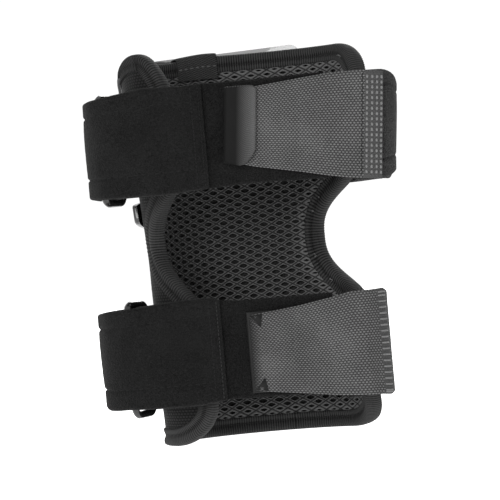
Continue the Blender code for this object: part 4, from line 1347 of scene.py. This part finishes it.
def build_ring(side):
    """A moulded ring: rounded bars with a fine parting line."""
    anchor_bar, strap_bar = (np.array(p) for p in RINGS[side])
    across = (strap_bar - anchor_bar) / np.linalg.norm(strap_bar - anchor_bar)
    flat = np.array([-across[1], across[0], 0.0])
    centre = (anchor_bar + strap_bar) / 2
    middle, inside = RING_SPANS[side]
    bar, corner, steps, sides = 1.5, 3.2, 9, 24
    half_short, half_long = np.linalg.norm(strap_bar - anchor_bar) / 2, inside / 2 + bar
    path, outward = [], []
    for sx, sz, start in ((1, 1, 0), (-1, 1, 90), (-1, -1, 180), (1, -1, 270)):
        for k in range(steps):
            turn = math.radians(start + 90 * k / (steps - 1))
            path.append((sx * (half_short - corner) + corner * math.cos(turn),
                         sz * (half_long - corner) + corner * math.sin(turn)))
            outward.append((math.cos(turn), math.sin(turn)))
    around = np.linspace(0, 2 * math.pi, sides + 1)[:-1]
    radius = bar - 0.06 * np.abs(np.sin(2 * around)) + 0.05 * np.exp(-((np.sin(around)) / 0.1) ** 2)
    points = []
    for (u, w), (ou, ow) in zip(path, outward):
        spot = np.array([*(centre + across * u), middle + w])
        out = np.array([*(across * ou), ow])
        turned = np.cos(around)[:, None] * out + np.sin(around)[:, None] * flat
        points.append(spot + radius[:, None] * turned)
    faces = grid_faces(len(points) + 1, sides, loop=True) % (len(points) * sides)
    obj = mesh_object(f"{side}_ring_moulding", Shape().add(points, faces), [PLASTIC])
    stand_in(obj, f"{side}_ring", "ring", f"{side}_ring")


def anchor_line(side, z):
    """The anchor's middle line in plan at the height z: out along the back, round, and back."""
    bar = np.array(RINGS[side][0])
    tail_end = bend_at(LEFT_BEND, z) + 2.0
    tail = np.linspace(tail_end + 12.5, tail_end, 12)
    inner = wrap(tail, z, 3.35)[:, :2]
    toward = math.atan2(inner[-1, 1] - bar[1], inner[-1, 0] - bar[0])
    turns = toward - np.radians(np.linspace(52, 325, 22))
    around = bar + 2.35 * np.stack([np.cos(turns), np.sin(turns)], axis=1)
    return np.concatenate([inner, around, wrap(tail[::-1], z, 4.7)[:, :2]])


def build_anchor(side):
    """Webbing sewn to the back and folded round the ring's bar."""
    middle, half = STRAP_HEIGHTS[side], LOOP_WIDTH / 2 - 1
    across = across_widths(half, ())
    heights = middle + across * half
    centre = np.stack([anchor_line(side, z) for z in heights], axis=1)
    out = right_of(unit_along(centre))
    selvedge = 0.42 + 0.12 * np.exp(-(((1 - np.abs(across)) * half / 0.9) ** 2))
    rows, columns = centre.shape[:2]
    sides = []
    for sign in (1, -1):
        plan = centre + sign * out * selvedge[None, :, None]
        z = np.broadcast_to(heights, plan.shape[:2])
        sides.append(np.concatenate([plan, z[..., None]], axis=-1))
    front, back = sides
    along = distances_along(centre[:, columns // 2])
    shape = slab(front, back, along[:, None], heights[None, :])
    normal = np.concatenate([out, np.zeros((rows, columns, 1))], axis=-1)
    for row in (rows - 2, rows - 5, rows - 9):
        add_stitches(shape, back[row, 3:-3], -normal[row, 3:-3], pitch=2.2, length=1.6)
    obj = mesh_object(f"{side}_anchor_webbing", shape, [WEBBING, THREAD], sharp=60)
    stand_in(obj, "sleeve_back", "strap", f"{side}_ring_anchor")


# ---------------------------------------------------------------- studio


def build_camera():
    """The reference view: level, a metre off, rolled so that the guard leans left."""
    distance, roll = 1000.0, math.radians(5.0)
    right = Vector((math.cos(roll), 0, -math.sin(roll)))
    up = Vector((math.sin(roll), 0, math.cos(roll)))
    target = Vector((OVAL_AXIS[0], OVAL_AXIS[1], 75.4))
    place = (target - right * 3.2 - up * 0.8 - Vector((0, distance, 0))) * MM
    camera = bpy.data.cameras.new("camera")
    camera.sensor_width = 36
    camera.lens = 180
    camera.clip_end = 20
    obj = link_object("camera", camera)
    back = right.cross(up)
    obj.matrix_world = Matrix.Translation(place) @ Matrix((right, up, back)).transposed().to_4x4()
    bpy.context.scene.camera = obj


def sun(name, towards, strength, spread):
    """A wide, soft lamp far off in a direction."""
    light = bpy.data.lights.new(name, "SUN")
    light.energy = strength
    light.angle = math.radians(spread)
    obj = link_object(name, light)
    obj.location = Vector(towards)
    obj.rotation_euler = (-Vector(towards)).to_track_quat("-Z", "Y").to_euler()


def build_surround():
    """A white surround, softer on matte surfaces than where it is seen or mirrored."""
    world = bpy.data.worlds.new("surround")
    world.use_nodes = True
    tree = world.node_tree
    path = tree.nodes.new("ShaderNodeLightPath")
    strength = tree.nodes.new("ShaderNodeMapRange")
    strength.inputs["To Min"].default_value = 1.05
    strength.inputs["To Max"].default_value = 0.35
    background = tree.nodes["Background"]
    background.inputs[0].default_value = (1, 1, 1, 1)
    tree.links.new(path.outputs["Is Diffuse Ray"], strength.inputs[0])
    tree.links.new(strength.outputs[0], background.inputs[1])
    bpy.context.scene.world = world


def build_studio():
    """A pale table, a white surround and soft lamps."""
    mesh = bpy.data.meshes.new("floor")
    mesh.from_pydata([(x * 3, y * 3, 0) for x, y in SQUARE], [], [(0, 1, 2, 3)])
    paint = Nodes("floor_paint", roughness=0.9, specular=0.1)
    paint.shader.inputs["Emission Color"].default_value = (1, 1, 1, 1)
    paint.shader.inputs["Emission Strength"].default_value = 1.3
    paint.finish(paint.mix(paint.noise(3), grey(0.84), grey(0.88)))
    mesh.materials.append(paint.material)
    link_object("floor", mesh)
    build_surround()
    sun("key", (-0.42, -0.85, 0.3), 2.7, 35)
    sun("fill", (0.6, -0.75, 0.1), 0.3, 35)
    sun("back", (0.3, 0.9, 0.6), 1.6, 30)
    settings = bpy.context.scene.view_settings
    settings.view_transform = "Standard"
    settings.look = "None"


def main():
    build_camera()
    build_studio()
    build_layers()
    build_lining()
    build_binding()
    build_edge_tab()
    build_shell()
    build_rivets()
    for side in STRAP_HEIGHTS:
        build_ring(side)
        build_anchor(side)
        build_loop_strap(side)
        build_hook_strap(side)
        build_hook_tape(side)


main()
